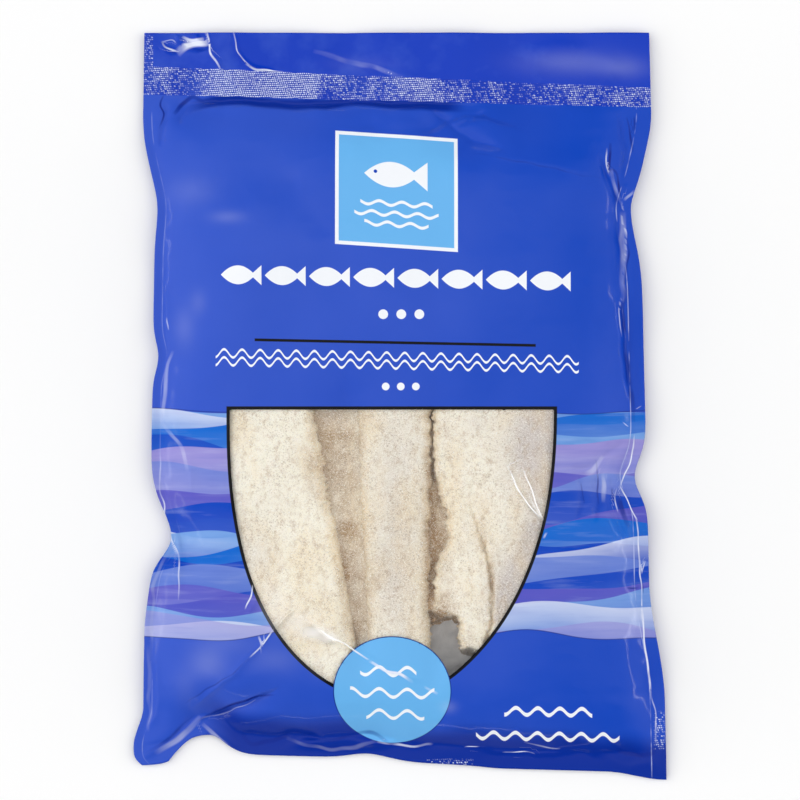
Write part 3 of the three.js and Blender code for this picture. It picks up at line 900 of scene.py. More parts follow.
class Quantity:
    """A socket that Python's operators calculate with, each as one Math node."""

    def __init__(self, shader, socket):
        self.shader = shader
        self.socket = socket

    def __add__(self, other):
        return self.shader.maths("ADD", self, other)

    def __sub__(self, other):
        return self.shader.maths("SUBTRACT", self, other)

    def __rsub__(self, other):
        return self.shader.maths("SUBTRACT", other, self)

    def __mul__(self, other):
        return self.shader.maths("MULTIPLY", self, other)

    def __truediv__(self, other):
        return self.shader.maths("DIVIDE", self, other)

    def __pow__(self, other):
        return self.shader.maths("POWER", self, other)

    def __mod__(self, other):
        return self.shader.maths("FLOORED_MODULO", self, other)

    def __lt__(self, other):
        return self.shader.maths("LESS_THAN", self, other)

    def __neg__(self):
        return self.shader.maths("MULTIPLY", self, -1.0)

    def __abs__(self):
        return self.shader.maths("ABSOLUTE", self)

    __radd__ = __add__
    __rmul__ = __mul__


class Shader:
    """The nodes of a new material or world, and one method that adds any node to them."""

    def __init__(self, owner):
        self.owner = owner
        owner.use_nodes = True
        self.tree = owner.node_tree
        self.tree.nodes.clear()

    def node(self, kind, settings=None, inputs=None, output=0):
        made = self.tree.nodes.new(kind)
        for name, value in (settings or {}).items():
            if name == "stops":
                self.set_stops(made.color_ramp, value)
            else:
                setattr(made, name, value)
        for name, value in (inputs or {}).items():
            if isinstance(value, Quantity):
                self.tree.links.new(value.socket, made.inputs[name])
            else:
                made.inputs[name].default_value = value
        return Quantity(self, made.outputs[output] if made.outputs else None)

    @staticmethod
    def set_stops(ramp, stops):
        for position, _ in stops[1:-1]:
            ramp.elements.new(position)
        ramp.elements[0].position = stops[0][0]
        ramp.elements[-1].position = stops[-1][0]
        for element, (_, colour) in zip(ramp.elements, stops):
            element.color = colour

    def maths(self, operation, *terms, clamp=False):
        settings = {"operation": operation, "use_clamp": clamp}
        return self.node("ShaderNodeMath", settings, dict(enumerate(terms)))

    def clamp(self, value):
        return self.maths("ADD", value, 0.0, clamp=True)

    def ramp(self, value, low, high):
        """From 0 at low to 1 at high."""
        return self.clamp((value - low) * (1 / (high - low)))

    def sine(self, value):
        return self.maths("SINE", value)

    def root(self, value):
        return self.maths("SQRT", value)

    def smaller(self, *values):
        least = values[0]
        for value in values[1:]:
            least = self.maths("MINIMUM", least, value)
        return least

    def larger(self, *values):
        most = values[0]
        for value in values[1:]:
            most = self.maths("MAXIMUM", most, value)
        return most

    def mix(self, under, over, share):
        """A colour between two colours."""
        return self.node("ShaderNodeMix", {"data_type": "RGBA"}, {0: share, 6: under, 7: over}, output=2)

    def position(self):
        """Object x, y and z, in millimetres."""
        coordinates = self.node("ShaderNodeTexCoord", output=3)
        split = self.node("ShaderNodeSeparateXYZ", inputs={0: coordinates})
        return [Quantity(self, socket) * (1 / MM) for socket in split.socket.node.outputs]

    def vector(self, x, y, z):
        return self.node("ShaderNodeCombineXYZ", inputs={0: x, 1: y, 2: z})

    def noise(self, place, scale, detail=3.0, roughness=0.5):
        return self.node(
            "ShaderNodeTexNoise",
            inputs={"Vector": place, "Scale": scale, "Detail": detail, "Roughness": roughness},
        )

    def attribute(self, name):
        """A value that the mesh stores for its points."""
        return self.node("ShaderNodeAttribute", {"attribute_name": name}, output=2)

    def bump(self, height, distance, strength):
        inputs = {"Strength": strength, "Distance": distance, "Height": height}
        return self.node("ShaderNodeBump", inputs=inputs)

    def surface(self, shader):
        """Ends the material in a shader, and gives the material."""
        self.node("ShaderNodeOutputMaterial", inputs={"Surface": shader})
        return self.owner

    def principled(self, inputs):
        return self.surface(self.node("ShaderNodeBsdfPrincipled", inputs=inputs))


def linear(red, green, blue):
    """A colour given as a picture's 0 to 255, as the linear colour that a shader takes."""
    shares = [value / 255 for value in (red, green, blue)]
    return tuple(s / 12.92 if s <= 0.04045 else ((s + 0.055) / 1.055) ** 2.4 for s in shares)


def opaque(colour):
    return (*colour[:3], 1.0)


# ---- The print ----------------------------------------------------------------------------------

FILM_SHEEN = 0.012  # what the glossy film adds to a colour


def ink(red, green, blue):
    """The ink that looks like a picture's colour under the film's sheen."""
    return tuple(max(share - FILM_SHEEN, 0.0) for share in linear(red, green, blue))


WHITE_INK = ink(244, 247, 252)
PALE_INK = ink(206, 214, 240)
SKY_INK = ink(120, 164, 226)
BRIGHT_INK = ink(26, 106, 206)
SEA_INK = ink(16, 74, 190)
VIOLET_INK = ink(96, 92, 194)
LILAC_INK = ink(152, 145, 213)
DUSK_INK = ink(108, 133, 212)
LINE_INK = ink(36, 56, 140)
OUTLINE_INK = (0.0, 0.0, 0.001)
# the colour of a highlight painted along the seams
SEAM_HIGHLIGHT = linear(188, 198, 238)
# painted highlight: the colour of the highlights along folds and of the glare
FOLD_HIGHLIGHT = linear(232, 236, 252)
FOLD_SHADE = linear(0, 34, 138)
PLAIN_BLUE = linear(2, 56, 188)
LINER_DARK, LINER_PALE = linear(178, 177, 177), linear(206, 204, 203)
# the shade and the glints painted on pressed dents
DENT_SHADE, DENT_GLINT = linear(8, 36, 150), linear(222, 230, 250)
# the colour of glints painted on the small dents of the seals
EMBOSSED_GLINT = linear(214, 224, 248)
FILM_FINISH = {"Specular IOR Level": 0.05, "Coat Roughness": 0.07}
PRINT_COAT, SEALED_COAT = 0.15, 0.2

PRINT_EDGE = 4  # how many times a shape's edge fades in a millimetre
LINE_EDGE = 1.7  # the same for a fold's line, in its half width

BAND_TOP, BAND_FOOT = -2.2, -114.5
BAND_LINE = 0.5
BAND_WIDTH = 240
# Each layer of the wave band covers what is below its crest: the crest's level at the left and at the
# right, two waves of it as (height, length, start), its ink, how strong that is and how far down it fades.
WAVE_LAYERS = [
    ((-2.2, -2.2), (1.4, 190, 0.4), (0.5, 61, 2.0), SKY_INK, 0.9, 90),
    ((-1.0, -9.0), (2.6, 150, 2.1), (1.0, 63, 0.3), PALE_INK, 0.8, 12),
    ((-9.0, -5.5), (3.4, 170, 3.3), (1.0, 70, 0.3), BRIGHT_INK, 1.0, 50),
    ((-28.0, -11.5), (2.4, 130, 5.2), (1.2, 83, 4.1), SKY_INK, 0.9, 20),
    ((-17.0, -34.0), (3.2, 140, 1.2), (1.6, 66, 5.3), SEA_INK, 0.85, 30),
    ((-26.0, -17.5), (1.6, 120, 0.6), (0.8, 66, 5.3), PALE_INK, 0.75, 9),
    ((-23.0, -20.0), (3.0, 185, 4.4), (1.2, 58, 1.4), LILAC_INK, 1.0, 60),
    ((-31.0, -38.0), (2.6, 160, 0.1), (1.0, 52, 3.2), DUSK_INK, 0.75, 14),
    ((-41.0, -30.0), (3.0, 200, 1.4), (1.2, 64, 0.6), VIOLET_INK, 0.95, 40),
    ((-60.0, -35.0), (2.2, 110, 2.0), (1.3, 47, 1.0), DUSK_INK, 0.95, 30),
    ((-53.0, -45.0), (3.2, 175, 5.0), (1.2, 59, 5.0), SEA_INK, 1.0, 60),
    ((-78.0, -50.0), (2.6, 130, 0.7), (1.2, 52, 2.1), VIOLET_INK, 0.9, 30),
    ((-60.5, -66.0), (3.6, 160, 2.0), (1.4, 71, 1.0), PALE_INK, 0.9, 10),
    ((-64.0, -84.0), (3.6, 120, 0.2), (1.1, 62, 3.9), SKY_INK, 0.95, 30),
    ((-72.0, -60.0), (4.4, 150, 3.6), (1.4, 74, 0.2), BRIGHT_INK, 1.0, 50),
    ((-76.0, -66.0), (3.2, 195, 0.9), (1.4, 57, 2.9), SEA_INK, 1.0, 40),
    ((-96.0, -68.5), (2.6, 140, 3.0), (1.2, 60, 1.2), PALE_INK, 0.75, 14),
    ((-84.0, -75.0), (3.2, 158, 5.4), (1.3, 68, 4.6), DUSK_INK, 0.95, 40),
    ((-95.0, -82.0), (3.4, 172, 2.6), (1.2, 79, 1.8), SEA_INK, 1.0, 50),
    ((-93.0, -88.0), (3.0, 135, 0.6), (1.0, 63, 5.7), VIOLET_INK, 0.9, 40),
    ((-102.0, -94.0), (3.2, 150, 1.9), (1.2, 66, 1.1), SKY_INK, 0.85, 40),
    ((-112.0, -99.0), (3.6, 180, 5.6), (1.4, 77, 2.2), PALE_INK, 0.85, 16),
    ((-104.0, -112.0), (3.4, 120, 2.8), (1.0, 69, 4.2), LILAC_INK, 0.6, 40),
]

OUTLINE_WIDTH = 1.6
LABEL = {"x": -1.9, "y": 107.6, "half_width": 30.6, "half_height": 28.6, "slant": 0.067, "border": 1.8}
RULE = {"from": -72, "to": 67, "half_width": 70, "y": 31.8, "half": 0.7}
PRINT_SLANT = 0.02
SHOAL = {"start": -90, "stop": 86, "level": 64, "pitch": 22, "size": 1.3}
# Rows of dots: start, count, level, pitch and radius
BUBBLES = [(-13, 3, 46, 9, 2.4), (-11, 3, 10, 7.5, 1.9)]
# Wavy rules: start, stop, level, height, length and half their thickness
WAVY_RULES = [
    (-92, 89, 24.8, 2.0, 9, 0.6),
    (-92, 89, 20.8, 2.0, 9, 0.6),
    (52, 96, -151, 1.8, 11, 1.0),
    (38, 110, -164, 1.8, 11, 1.0),
]
BADGE_RIM = 0.45
BADGE_WAVES = [(-20, 8, -132), (-25, 17, -143), (-17, 12, -154)]  # start, stop and level
# Patches of small dents in the seals, shown only by painted glints: x, y and half their width and height
EMBOSSED = [(130.5, -163, 3.2, 10), (25, -180, 12, 3)]


class Print:
    """The front film's print, painted from its ground up."""

    def __init__(self, shader, x, y, ground):
        self.shader = shader
        self.x, self.y = x, y
        self.colour = ground

    def paint(self, colour, mask):
        over = colour if isinstance(colour, Quantity) else opaque(colour)
        self.colour = self.shader.mix(self.colour, over, mask)

    def below(self, crest):
        """1 below a line and 0 above it, with a soft edge a quarter of a millimetre wide."""
        return self.shader.clamp((crest - self.y) * PRINT_EDGE + 0.5)

    def inside(self, distance):
        """1 where a distance inside a shape is above 0."""
        return self.shader.clamp(distance * PRINT_EDGE + 0.5)

    def box(self, x, y, half_width, half_height):
        """The distance inside a rectangle, from its middle."""
        return self.shader.smaller(half_width - abs(x), half_height - abs(y))

    def row(self, start, stop):
        """The distance inside the stretch that a row of shapes takes."""
        return self.shader.smaller(self.x - start, stop - self.x)

    def wave(self, specs, level):
        """A crest line: waves as (height, length, start), one on another."""
        crest = level
        for height, length, start in specs:
            crest = self.shader.sine(self.x * (2 * math.pi / length) + start) * height + crest
        return crest

    def wave_band(self, ground):
        shader = self.shader
        top = self.wave([(1.1, 150, 0.8), (0.5, 61, 2.0)], BAND_TOP)
        foot = self.wave([(2.6, 112, 4.3), (0.9, 57, 1.0)], BAND_FOOT)
        place = shader.vector(self.x * 0.35, self.y * 1.8, 0.0)
        wash = shader.noise(place, 0.05, detail=3.0)
        for (at_left, at_right), first, second, colour, strength, fade in WAVE_LAYERS:
            slope = (at_right - at_left) / BAND_WIDTH
            crest = self.wave([first, second], self.x * slope + (at_left + at_right) / 2)
            faded = 1.2 - wash * 0.35 - shader.ramp(crest - self.y, 0.0, fade)
            strong = shader.clamp(faded) * strength
            self.paint(colour, shader.smaller(self.below(crest), self.below(top)) * strong)
        streaks = shader.noise(shader.vector(self.x * 0.25, self.y * 2.4, 0.0), 0.12, detail=4.0)
        self.paint(SEA_INK, shader.smaller(self.below(top), shader.ramp(streaks, 0.5, 0.75) * 0.2))
        self.paint(PALE_INK, shader.smaller(self.below(top), shader.ramp(-streaks, -0.45, -0.25) * 0.15))
        self.paint(ground, self.below(foot))
        for edge in (top, foot):
            self.paint(LINE_INK, self.inside(BAND_LINE / 2 - abs(self.y - edge)) * 0.8)

    def label(self, sky):
        shader = self.shader
        x = self.x - LABEL["x"]
        y = self.y - LABEL["y"] + x * LABEL["slant"]
        edge = self.box(x, y, LABEL["half_width"], LABEL["half_height"])
        self.paint(WHITE_INK, self.inside(edge))
        self.paint(sky, self.inside(edge - LABEL["border"]))
        self.fish(x, y - 8.0, 1.0)
        for number, half_width in enumerate((18.0, 21.0, 16.0)):
            level = y + 6.5 + 5.2 * number
            stroke = 0.75 - abs(level - shader.sine(x * 0.55 + 2.0 * number) * 1.0)
            self.paint(WHITE_INK, self.inside(shader.smaller(stroke, half_width - abs(x))))

    def fish(self, x, y, size):
        """A plain fish that swims to the left: a lens, a tail and an eye."""
        shader = self.shader
        belly = (x + 2.6 * size) * (1 / (13.5 * size))
        body = (1 - belly * belly) * (6.4 * size) - abs(y)
        tail = shader.smaller((x - 6.5 * size) * 0.8 - abs(y), 15.5 * size - x, x - 6.5 * size)
        self.paint(WHITE_INK, self.inside(shader.larger(body, tail)))
        eye = 0.9 * size - shader.root((x + 10.5 * size) ** 2 + (y - 1.2 * size) ** 2)
        self.paint(SEA_INK, self.inside(eye))

    def shoal(self, start, stop, level, pitch, size):
        """A row of small fish in place of a line of words."""
        shader = self.shader
        y = self.y - level + self.x * PRINT_SLANT
        x = (self.x - start) % pitch - pitch / 2
        belly = (x + 1.4 * size) * (1 / (6.6 * size))
        body = (1 - belly * belly) * (3.6 * size) - abs(y)
        tail = shader.smaller((x - 3.4 * size) * 0.9 - abs(y), 7.6 * size - x, x - 3.4 * size)
        fish = shader.larger(body, tail)
        self.paint(WHITE_INK, self.inside(shader.smaller(fish, self.row(start, stop))))

    def straight_rule(self):
        x = self.x - (RULE["from"] + RULE["to"]) / 2
        y = self.y - RULE["y"] + self.x * PRINT_SLANT
        self.paint(OUTLINE_INK, self.inside(self.box(x, y, RULE["half_width"], RULE["half"])))

    def wavy_rule(self, start, stop, level, height, length, half):
        shader = self.shader
        y = self.y - level + self.x * PRINT_SLANT
        stroke = half - abs(y - shader.sine(self.x * (2 * math.pi / length)) * height)
        self.paint(WHITE_INK, self.inside(shader.smaller(stroke, self.row(start, stop))))

    def bubbles(self, start, count, level, pitch, radius):
        shader = self.shader
        y = self.y - level
        x = (self.x - start) % pitch - pitch / 2
        dot = radius - shader.root(x * x + y * y)
        row = self.row(start, start + count * pitch)
        self.paint(WHITE_INK, self.inside(shader.smaller(dot, row)))

    def window_outline(self):
        """A black line round the window, which the badge covers at its tip."""
        shader = self.shader
        left = self.x < WINDOW_MIDDLE
        reach, across, down = (
            left * (WINDOW_LEFT[key] - WINDOW_RIGHT[key]) + WINDOW_RIGHT[key] for key in WINDOW_CURVE
        )
        u = shader.larger(abs(self.x - WINDOW_MIDDLE) / reach, 1e-4)
        v = shader.larger((WINDOW_TOP - self.y) * (1 / WINDOW_DEPTH), 1e-4)
        slope_x = across / reach * u ** (across - 1)
        slope_y = down * (1 / WINDOW_DEPTH) * v ** (down - 1)
        slope = shader.larger(shader.root(slope_x**2 + slope_y**2), 1e-4)
        inside = (1 - u**across - v**down) / slope
        edge = shader.smaller(inside, WINDOW_TOP - self.y)
        self.paint(OUTLINE_INK, self.inside(edge + OUTLINE_WIDTH))

    def badge(self, sky):
        shader = self.shader
        x = (self.x - BADGE["x"]) * (1 / BADGE["across"])
        y = (self.y - BADGE["y"]) * (1 / BADGE["along"])
        inside = (1 - shader.root(x * x + y * y)) * BADGE["along"]
        self.paint(LINE_INK, self.inside(inside))
        self.paint(sky, self.inside(inside - BADGE_RIM))
        for start, stop, level in BADGE_WAVES:
            self.wavy_rule(start, stop, level, 2.1, 14.0, 0.85)


def blue_with_painted_light(shader, film, x, place):
    """The ground of the print: clouded a little at random, with a painted sheen that grows towards the left,
    and painted shade where the film folds away.
    """
    clouds = shader.noise(place, 0.016, detail=3.0)
    # the share falls from left to right: a painted sheen of the light from the left
    share = shader.clamp(0.9 - shader.ramp(x, -50.0, 90.0) * 0.75 + (clouds - 0.5) * 1.1)
    blue = shader.mix(opaque(film.ground), opaque(film.milky_sheen), share)
    # painted shade where the film turns away, along its foot and under the top seal
    return shader.mix(blue, opaque(film.deep), shader.attribute("under") * 0.9)


def fold_line(shader, name):
    """How strongly a drawn line shows, full along its middle and 0 beside it."""
    gap, strength = shader.attribute(name + "_gap"), shader.attribute(name + "_strength")
    return shader.clamp((1 - abs(gap)) * LINE_EDGE) * strength


def painted_highlight(shader):
    """How strongly highlights are painted on the film: along its folds' lines and as soft glare."""
    return shader.clamp(fold_line(shader, "white") + shader.attribute("glare"))


def painted_fold_light(shader, colour):
    """The colour with shade and highlights painted along the folds' lines, and with painted glare."""
    colour = shader.mix(colour, opaque(FOLD_SHADE), fold_line(shader, "dark"))
    return shader.mix(colour, opaque(FOLD_HIGHLIGHT), painted_highlight(shader))


def pressed_dots(shader, x, y, place):
    """A net of small pressed dents: how far inside one a place is, and each one's own chance."""
    wobble = shader.noise(place, 1.1, detail=1.0)
    across = (x + y * 0.3) / KNURL + wobble * 0.9
    along = (y - x * 0.05) / KNURL - wobble * 0.7
    cell = shader.vector(across - across % 1, along - along % 1, 0.0)
    chance = shader.node("ShaderNodeTexWhiteNoise", inputs={"Vector": cell})
    inside = shader.smaller(0.4 - abs(across % 1 - 0.5), 0.34 - abs(along % 1 - 0.5))
    return inside, chance


def print_material(film):
    """Glossy printed film."""
    shader = Shader(bpy.data.materials.new("printed_film"))
    x, y, z = shader.position()
    place = shader.vector(x, y, z)
    ground = blue_with_painted_light(shader, film, x, place)
    artwork = Print(shader, x, y, ground)
    artwork.wave_band(ground)
    artwork.label(film.sky)
    artwork.shoal(**SHOAL)
    artwork.straight_rule()
    for row in BUBBLES:
        artwork.bubbles(*row)
    for rule in WAVY_RULES:
        artwork.wavy_rule(*rule)
    artwork.window_outline()
    artwork.badge(film.sky)
    # A highlight painted along the inner edge of the side seams, stronger towards the right.
    broken = shader.ramp(shader.noise(shader.vector(x * 0.2, y, z), 0.07, detail=3.0), 0.42, 0.6)
    line = shader.clamp((0.35 - abs(shader.attribute("seam") - 0.4)) * 4) * broken
    artwork.paint(SEAM_HIGHLIGHT, line * (0.25 + shader.ramp(x, 0.0, 60.0) * 0.55))
    # Painted glints on the patches of small dents in the seals.
    inside, chance = pressed_dots(shader, x, y, place)
    boxes = [artwork.box(x - at_x, y - at_y, *half) for at_x, at_y, *half in EMBOSSED]
    embossed = shader.ramp(shader.larger(*boxes), 0.0, 2.0)
    sparkle = shader.clamp(inside * 6) * shader.ramp(chance, 0.35, 0.8) * embossed
    artwork.paint(EMBOSSED_GLINT, sparkle * 0.9)
    smear = shader.noise(place, 0.05, detail=3.0)
    return shader.principled(
        {
            "Base Color": painted_fold_light(shader, artwork.colour),
            "Roughness": 0.34 + shader.ramp(smear, 0.35, 0.75) * 0.1,
            "Normal": shader.bump(smear, 0.001, 0.3),
            "Coat Weight": PRINT_COAT,
            **FILM_FINISH,
        }
    )


def sealed_material(film, name, pressed):
    """Plain film in the ground colour, with the glints and shade of pressed dents painted on, all over or at
    the left.
    """
    shader = Shader(bpy.data.materials.new(name))
    x, y, z = shader.position()
    place = shader.vector(x, y, z)
    tone = shader.noise(place, 0.06, detail=3.0)
    # clouded at random and partly a painted sheen, which grows towards the left
    milky_sheen = shader.ramp(tone - x * 0.0012, 0.5, 0.85) * 0.8
    colour = shader.mix(opaque(PLAIN_BLUE), opaque(film.milky_sheen), milky_sheen)
    inside, chance = pressed_dots(shader, x, y, place)
    uneven = shader.noise(shader.vector(x, y * 0.5, z), 0.1, detail=3.0)
    if pressed:
        start, stop = SEAL_STRETCH
        stops = [((at - start) / (stop - start), (*[share] * 3, 1)) for at, share in SEAL_GLINTS]
        glint = shader.node("ShaderNodeValToRGB", {"stops": stops}, {0: (x - start) / (stop - start)})
        where = 1.0
    else:
        glint = HEADER_GLINT
        where = x < HEADER_STRIP
    # painted glints on the pressed dents, and painted shade between them
    lit = shader.ramp(chance * 0.6 + (uneven - 0.5) * 1.4 + glint, 0.45, 1.05) * where
    colour = shader.mix(colour, opaque(DENT_SHADE), shader.clamp(0.5 - inside * 8) * 0.45 * where)
    colour = shader.mix(colour, opaque(DENT_GLINT), shader.clamp(inside * 7) * lit * 0.95)
    if not pressed:
        colour = painted_fold_light(shader, colour)
    return shader.principled(
        {
            "Base Color": colour,
            "Roughness": 0.3 + tone * 0.1,
            "Coat Weight": SEALED_COAT,
            **FILM_FINISH,
        }
    )


def clear_material(film):
    """Clear film: it mirrors the lamps and lets all else through; along its folds and in glare spots it
    mirrors more and is painted matt white as highlights.
    """
    shader = Shader(bpy.data.materials.new("clear_film"))
    x, y, z = shader.position()
    smear = shader.noise(shader.vector(x, y, z), 0.06, detail=3.0)
    white = opaque((1.0, 1.0, 1.0))
    gloss = {"Color": white, "Roughness": film.clear_roughness, "Normal": shader.bump(smear, 0.0012, 0.3)}
    gloss = shader.node("ShaderNodeBsdfAnisotropic", inputs=gloss)
    through = shader.node("ShaderNodeBsdfTransparent", inputs={"Color": white})
    facing = shader.node("ShaderNodeLayerWeight", inputs={"Blend": 0.5}, output=1)
    highlight_share = painted_highlight(shader)
    share = shader.clamp(facing**5 + film.haze + highlight_share * 0.5)
    clear = shader.node("ShaderNodeMixShader", inputs={0: share, 1: through, 2: gloss})
    # matt white painted where the highlights and the glare are
    painted_glare_white = shader.node("ShaderNodeBsdfDiffuse", inputs={"Color": white})
    return shader.surface(shader.node("ShaderNodeMixShader", inputs={0: highlight_share * 0.6, 1: clear, 2: painted_glare_white}))


def liner_material():
    """The inner face of the back film: grey, a little wrinkled and half glossy."""
    shader = Shader(bpy.data.materials.new("inner_film"))
    x, y, z = shader.position()
    tone = shader.noise(shader.vector(x, y, z), 0.12, detail=4.0)
    colour = shader.mix(opaque(LINER_DARK), opaque(LINER_PALE), shader.ramp(tone, 0.3, 0.7))
    return shader.principled(
        {
            "Base Color": colour,
            "Roughness": 0.3 + tone * 0.2,
            "Normal": shader.bump(tone, 0.002, 0.5),
        }
    )


SPECKLE_BROWN, GRIT_WHITE = linear(140, 112, 84), linear(255, 252, 244)
SALT_DARK, SALT_PALE = linear(226, 216, 196), linear(255, 254, 250)


def fish_material(fish):
    """Dry salted flesh: cream, dusted with salt, browner where it is torn, and browner where it lies deep,
    which is painted shade.
    """
    shader = Shader(bpy.data.materials.new("salted_flesh"))
    x, y, z = shader.position()
    place = shader.vector(x, y, z)
    dust = shader.noise(place, 0.075, detail=3.0)
    clouds = shader.noise(shader.vector(x * 1.3, y * 0.6, z), 0.05, detail=4.0)
    mottle = shader.noise(shader.vector(x, y * 0.8, z), 0.3, detail=5.0, roughness=0.7)
    speckle = shader.noise(place, 1.15, detail=3.0, roughness=0.75)
    grit = shader.noise(place, 1.9, detail=2.0, roughness=0.7)
    deep, torn, grey, stain = (shader.attribute(name) for name in ("deep", "torn", "grey", "stain"))
    # painted shade: browner the deeper the flesh lies below the film
    painted_depth_shade = shader.ramp(deep, 1.0, 14.0) * 0.4
    dusty = shader.ramp(dust, 0.4, 0.65) * 0.4 + shader.clamp(grey) * 0.2 + shader.clamp(stain) * 0.3 + 0.2
    layers = [
        (fish.grey, shader.clamp(grey) * 0.85),
        (fish.tan, shader.ramp(clouds, 0.44, 0.64) * 0.36),
        (fish.brown, shader.ramp(mottle, 0.5, 0.7) * 0.55),
        (fish.tan, shader.clamp(torn) * 0.4),
        (fish.brown, shader.clamp(stain + painted_depth_shade)),
        (SPECKLE_BROWN, shader.ramp(speckle, 0.5, 0.66) * dusty),
        (GRIT_WHITE, shader.ramp(grit, 0.52, 0.64) * 0.75),
    ]
    colour = opaque(fish.flesh)
    for over, share in layers:
        colour = shader.mix(colour, opaque(over), share)
    return shader.principled(
        {
            "Base Color": colour,
            "Roughness": 0.78 + speckle * 0.2,
            "Normal": shader.bump(speckle * 0.7 + grit * 0.4, 0.001, 0.6),
            "Subsurface Weight": 0.1,
            "Subsurface Radius": (0.004, 0.0025, 0.0015),
            "Subsurface Scale": 0.4,
        }
    )


def salt_material():
    shader = Shader(bpy.data.materials.new("salt_grain"))
    x, y, z = shader.position()
    tone = shader.noise(shader.vector(x, y, z), 0.8, detail=1.0)
    colour = shader.mix(opaque(SALT_DARK), opaque(SALT_PALE), shader.ramp(tone, 0.35, 0.6))
    return shader.principled({"Base Color": colour, "Roughness": 0.35 + tone * 0.2})


def floor_material(stage):
    shader = Shader(bpy.data.materials.new("studio_floor"))
    x, y, z = shader.position()
    tone = shader.noise(shader.vector(x, y, z), 0.004, detail=2.0)
    colour = shader.mix(opaque(stage.floor), opaque([c * 0.985 for c in stage.floor]), tone)
    return shader.principled({"Base Color": colour, "Roughness": 0.7})


# ---- Geometry Nodes -----------------------------------------------------------------------------


class Recipe:
    """A Geometry Nodes tree with named inputs, which ends in real faces with one material."""

    def __init__(self, name, **inputs):
        self.tree = bpy.data.node_groups.new(name, "GeometryNodeTree")
        self.tree.interface.new_socket("Geometry", in_out="INPUT", socket_type="NodeSocketGeometry")
        self.values = inputs
        for label, value in inputs.items():
            kind = "NodeSocketInt" if isinstance(value, int) else "NodeSocketFloat"
            self.tree.interface.new_socket(label, in_out="INPUT", socket_type=kind)
        self.tree.interface.new_socket("Geometry", in_out="OUTPUT", socket_type="NodeSocketGeometry")
        self.inputs = self.tree.nodes.new("NodeGroupInput").outputs

    def node(self, kind, settings=None, inputs=None):
        made = self.tree.nodes.new(kind)
        for name, value in (settings or {}).items():
            setattr(made, name, value)
        for name, value in (inputs or {}).items():
            if isinstance(value, bpy.types.NodeSocket):
                self.tree.links.new(value, made.inputs[name])
            else:
                made.inputs[name].default_value = value
        return made.outputs

    def maths(self, operation, *terms):
        return self.node("ShaderNodeMath", {"operation": operation}, dict(enumerate(terms)))[0]

    def bake(self, made, geometry, material):
        """Runs the tree on an object and gives its result as the object's plain mesh."""
        real = self.node("GeometryNodeRealizeInstances", inputs={0: geometry})[0]
        painted = self.node("GeometryNodeSetMaterial", inputs={"Geometry": real, "Material": material})[0]
        self.tree.links.new(painted, self.tree.nodes.new("NodeGroupOutput").inputs[0])
        modifier = made.modifiers.new(self.tree.name, "NODES")
        modifier.node_group = self.tree
        for item in self.tree.interface.items_tree:
            if item.in_out == "INPUT" and item.name in self.values:
                modifier[item.identifier] = self.values[item.name]
        bpy.context.view_layer.update()
        graph = bpy.context.evaluated_depsgraph_get()
        mesh = bpy.data.meshes.new_from_object(made.evaluated_get(graph))
        made.modifiers.remove(modifier)
        made.data = mesh
        return made


def knurled(made, material, pitch, height):
    """Presses a fine grid of points into a sealed band, along its normals."""
    recipe = Recipe("seal_knurl", Pitch=pitch * MM, Height=height * MM)
    _, pitch_in, height_in = recipe.inputs[0], recipe.inputs[1], recipe.inputs[2]
    split = recipe.node("ShaderNodeSeparateXYZ", inputs={0: recipe.node("GeometryNodeInputPosition")[0]})
    turns = recipe.maths("DIVIDE", 2 * math.pi, pitch_in)
    waves = [recipe.maths("SINE", recipe.maths("MULTIPLY", split[axis], turns)) for axis in (0, 1)]
    bumps = recipe.maths("MULTIPLY", *waves)
    inner = recipe.node("GeometryNodeInputNamedAttribute", {"data_type": "FLOAT"}, {"Name": "pressed"})[0]
    lift = recipe.maths("MULTIPLY", recipe.maths("MULTIPLY", bumps, height_in), inner)
    offset = recipe.node("ShaderNodeCombineXYZ", inputs={2: lift})[0]
    moved = recipe.node("GeometryNodeSetPosition", inputs={"Geometry": recipe.inputs[0], "Offset": offset})[0]
    return recipe.bake(made, moved, material)


def scattered(made, material, density, size, seed):
    """Covers a surface with small rough grains, most where its attribute salt is high."""
    recipe = Recipe("salt_grains", Density=float(density), Size=size * MM, Seed=seed)
    surface, density_in, size_in, seed_in = (recipe.inputs[i] for i in range(4))
    salt = recipe.node("GeometryNodeInputNamedAttribute", {"data_type": "FLOAT"}, {"Name": "salt"})[0]
    points = recipe.node(
        "GeometryNodeDistributePointsOnFaces",
        inputs={"Mesh": surface, "Density": recipe.maths("MULTIPLY", salt, density_in), "Seed": seed_in},
    )
    grain = recipe.node("GeometryNodeMeshIcoSphere", inputs={"Radius": 0.5, "Subdivisions": 1})[0]
    spin = recipe.node(
        "FunctionNodeRandomValue",
        {"data_type": "FLOAT_VECTOR"},
        {"Min": (0, 0, 0), "Max": (6.3, 6.3, 6.3), "Seed": seed_in},
    )[0]
    stretch = recipe.node(
        "FunctionNodeRandomValue",
        {"data_type": "FLOAT_VECTOR"},
        {"Min": (0.45, 0.45, 0.35), "Max": (1.3, 1.1, 0.9), "Seed": seed_in},
    )[0]
    scale = recipe.node("ShaderNodeVectorMath", {"operation": "SCALE"}, {0: stretch, "Scale": size_in})[0]
    grains = recipe.node(
        "GeometryNodeInstanceOnPoints",
        inputs={"Points": points[0], "Instance": grain, "Rotation": spin, "Scale": scale},
    )[0]
    return recipe.bake(made, grains, material)


# ---- Settings -----------------------------------------------------------------------------------


